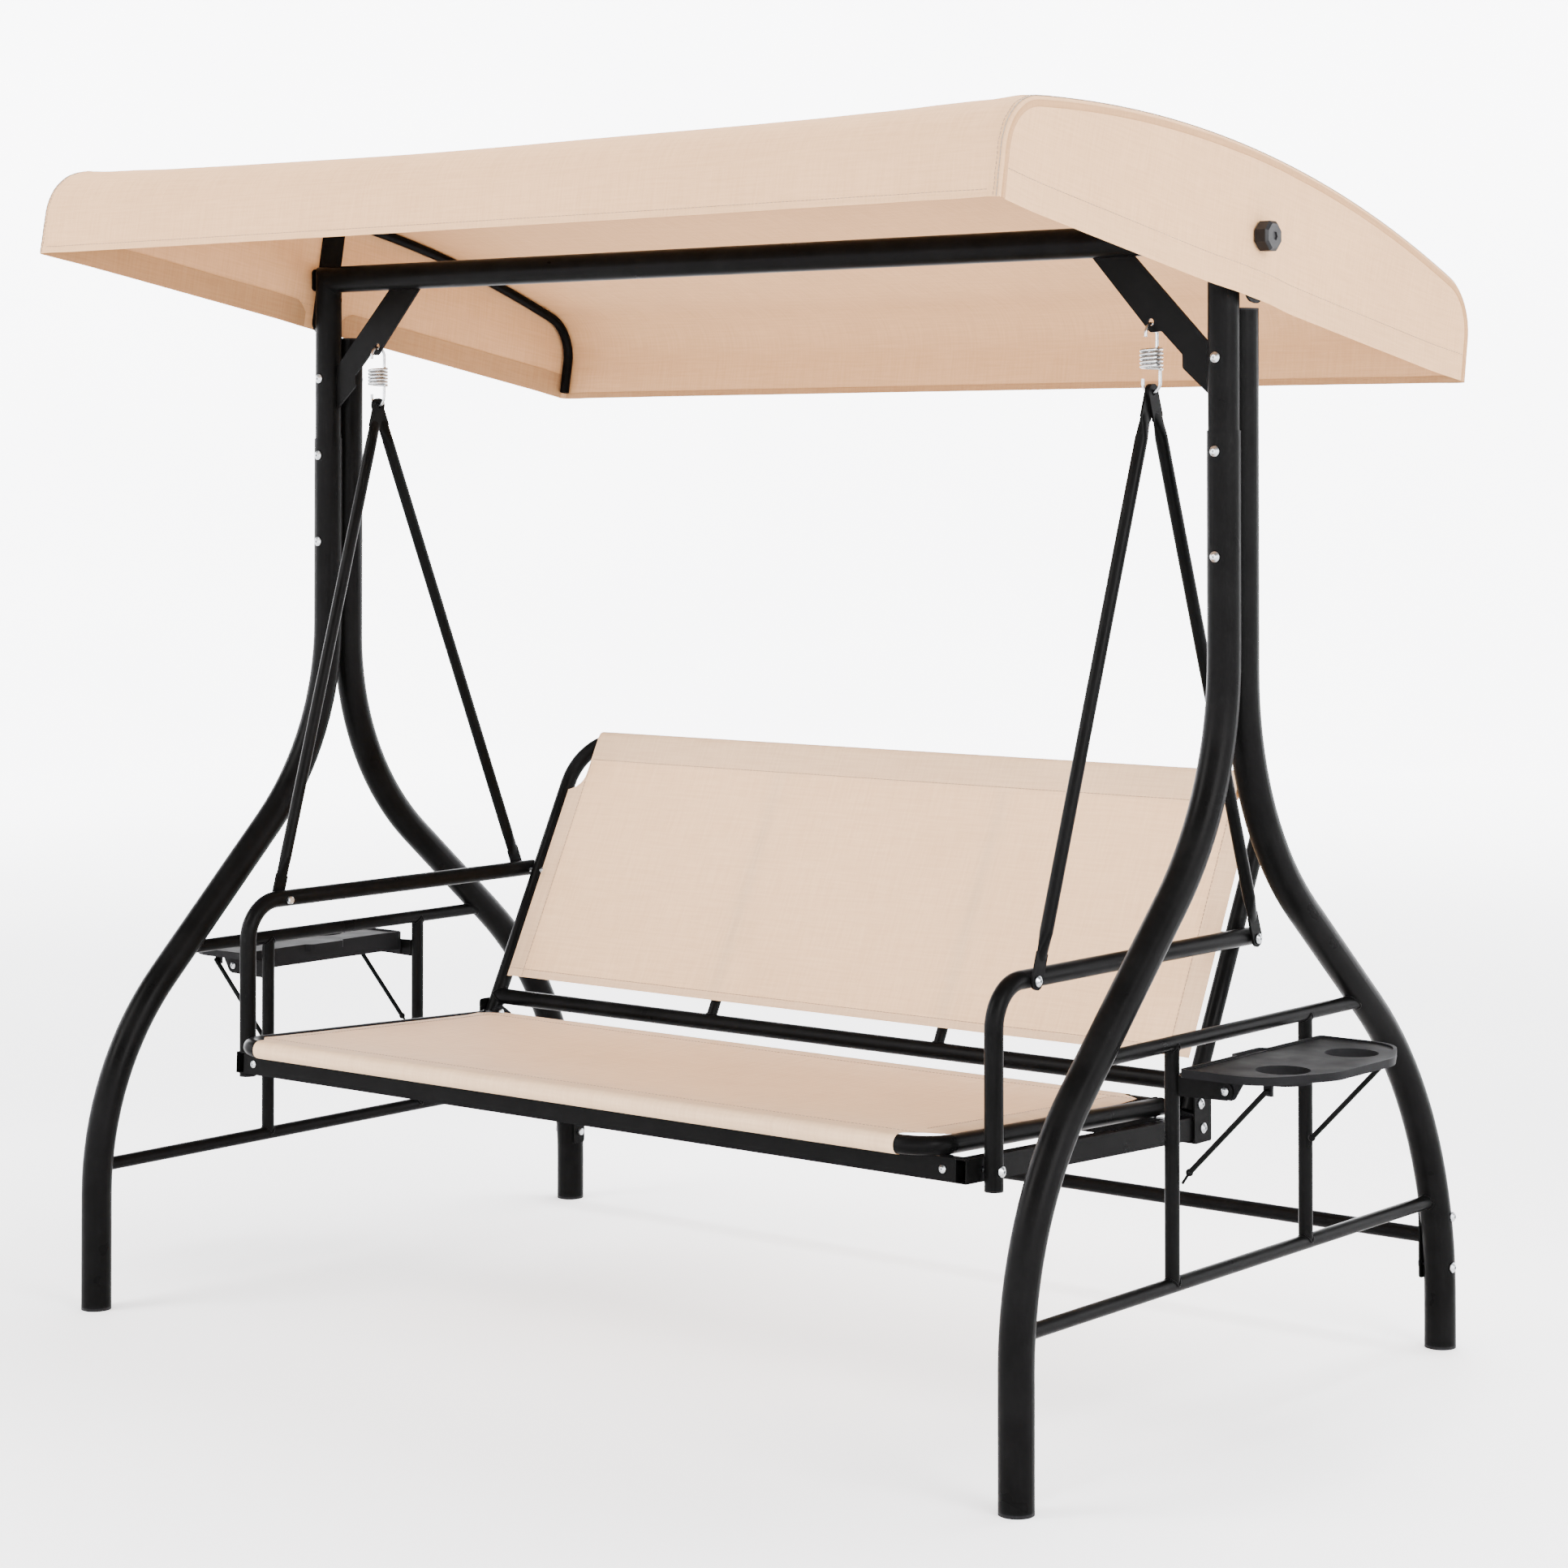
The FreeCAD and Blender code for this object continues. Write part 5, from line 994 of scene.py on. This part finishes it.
def make_stage_floor():
    """Pale seamless floor that turns up into a wall all round."""
    rim = rounded([(0.0, 0.0), (15.0, 0.0), (15.0, 7.0)], [0, 3.5, 0], 0.5)[0]
    around = 72
    points = [Vector((0, 0, 0))]
    for radius, height in rim[1:]:
        for turn in range(around):
            angle = 2 * math.pi * turn / around
            points.append(Vector((radius * math.cos(angle), radius * math.sin(angle), height)))
    faces = [(0, 1 + turn, 1 + (turn + 1) % around) for turn in range(around)]
    for ring in range(len(rim) - 2):
        low, high = 1 + ring * around, 1 + (ring + 1) * around
        for turn in range(around):
            after = (turn + 1) % around
            faces.append((low + turn, high + turn, high + after, low + after))
    # White seamless paper with painted light: it glows by emission that rises from 0.6 near the middle to 5.3
    # away from it, so the ground is pale with soft shadows on it.
    material, tree, out = start_material("white_seamless_paper_painted_glow")
    place = add_node(tree, "ShaderNodeTexCoord").outputs["Object"]
    tone, _ = blotches(tree, place, 1.5, 0.3, 0.7, linear("#F4F4F5"), linear("#EFEFF1"))
    far = add_node(tree, "ShaderNodeVectorMath", {"operation": "LENGTH"}, None, {0: place})
    # painted light: the paper's own glow, kept weak near the middle so that the lamps' shadows show there; it
    # also lights the swing from below
    glow = add_node(tree, "ShaderNodeMapRange", {"interpolation_type": "SMOOTHSTEP"},
                    {"From Min": 2.0, "From Max": 10.0, "To Min": 0.60, "To Max": 5.3},
                    {"Value": far.outputs["Value"]})
    paper = add_node(tree, "ShaderNodeBsdfPrincipled", None,
                     {"Roughness": 0.75, "Specular IOR Level": 0.2},
                     {"Base Color": tone.outputs[2], "Emission Color": tone.outputs[2],
                      "Emission Strength": glow.outputs[0]})
    tree.links.new(paper.outputs[0], out.inputs[0])
    floor = new_piece("stage_floor", points, faces, material)
    return floor


class SWING_OT_stage(bpy.types.Operator):
    """Make the floor, the lights and the camera"""
    bl_idname = "swing.stage"
    bl_label = "Stage"

    def execute(self, context):
        scene = context.scene
        props = scene.swing_stage
        make_stage_floor()
        area_light("top_light", (0.2, 1.2, 5.6), (0, 0, 0), 3.2, props.top_power, (1.0, 1.0, 1.0))
        area_light("key_light", (-2.6, -4.4, 4.2), (0, 0, 0.9), 2.6, props.key_power, (1.0, 0.985, 0.96))
        area_light("fill_light", (5.6, -1.4, 3.4), (0, 0, 0.9), 2.6, props.fill_power, (1.0, 0.99, 0.98))
        world = bpy.data.worlds.new("studio_air")
        scene.world = world
        world.use_nodes = True
        air = world.node_tree.nodes["Background"]
        air.inputs["Color"].default_value = linear("#F1F3F6")
        air.inputs["Strength"].default_value = 0.35
        data = bpy.data.cameras.new("studio_camera")
        camera = bpy.data.objects.new("studio_camera", data)
        scene.collection.objects.link(camera)
        data.sensor_width, data.lens = 36.0, props.lens
        data.shift_x, data.shift_y = 0.0, CAMERA_SHIFT
        data.clip_start, data.clip_end = 0.1, 60.0
        turn, tip = math.radians(CAMERA_TURN), math.radians(CAMERA_TIP)
        ahead = Vector((-math.sin(turn) * math.cos(tip), math.cos(turn) * math.cos(tip), math.sin(tip)))
        across = Vector((math.cos(turn), math.sin(turn), 0))
        over = across.cross(ahead)
        axes = Matrix((across, over, -ahead)).transposed().to_4x4()
        camera.matrix_world = Matrix.Translation(CAMERA_PLACE) @ axes
        scene.camera = camera
        return {"FINISHED"}


class SWING_PT_panel(bpy.types.Panel):
    """Sizes, colours and steps of the swing"""
    bl_label = "Canopy Swing"
    bl_idname = "SWING_PT_panel"
    bl_space_type = "VIEW_3D"
    bl_region_type = "UI"
    bl_category = "Swing"

    def draw(self, context):
        for group in (context.scene.swing_cloth, context.scene.swing_finish, context.scene.swing_stage):
            box = self.layout.box()
            for name in group.__annotations__:
                box.prop(group, name)
        for step in STEPS:
            self.layout.operator(step.bl_idname)


STEPS = (SWING_OT_finish_frame, SWING_OT_canopy, SWING_OT_seat_sling, SWING_OT_back_sling, SWING_OT_springs,
         SWING_OT_welds, SWING_OT_stage)
CLASSES = (SwingClothProps, SwingFinishProps, SwingStageProps, *STEPS, SWING_PT_panel)


def register():
    for made in CLASSES:
        bpy.utils.register_class(made)
    bpy.types.Scene.swing_cloth = bpy.props.PointerProperty(type=SwingClothProps)
    bpy.types.Scene.swing_finish = bpy.props.PointerProperty(type=SwingFinishProps)
    bpy.types.Scene.swing_stage = bpy.props.PointerProperty(type=SwingStageProps)


def unregister():
    del bpy.types.Scene.swing_cloth, bpy.types.Scene.swing_finish, bpy.types.Scene.swing_stage
    for made in reversed(CLASSES):
        bpy.utils.unregister_class(made)


def main():
    register()
    bpy.ops.swing.finish_frame()
    bpy.ops.swing.canopy()
    bpy.ops.swing.seat_sling()
    bpy.ops.swing.back_sling()
    bpy.ops.swing.springs()
    bpy.ops.swing.welds()
    bpy.ops.swing.stage()


if __name__ == "__main__":
    main()
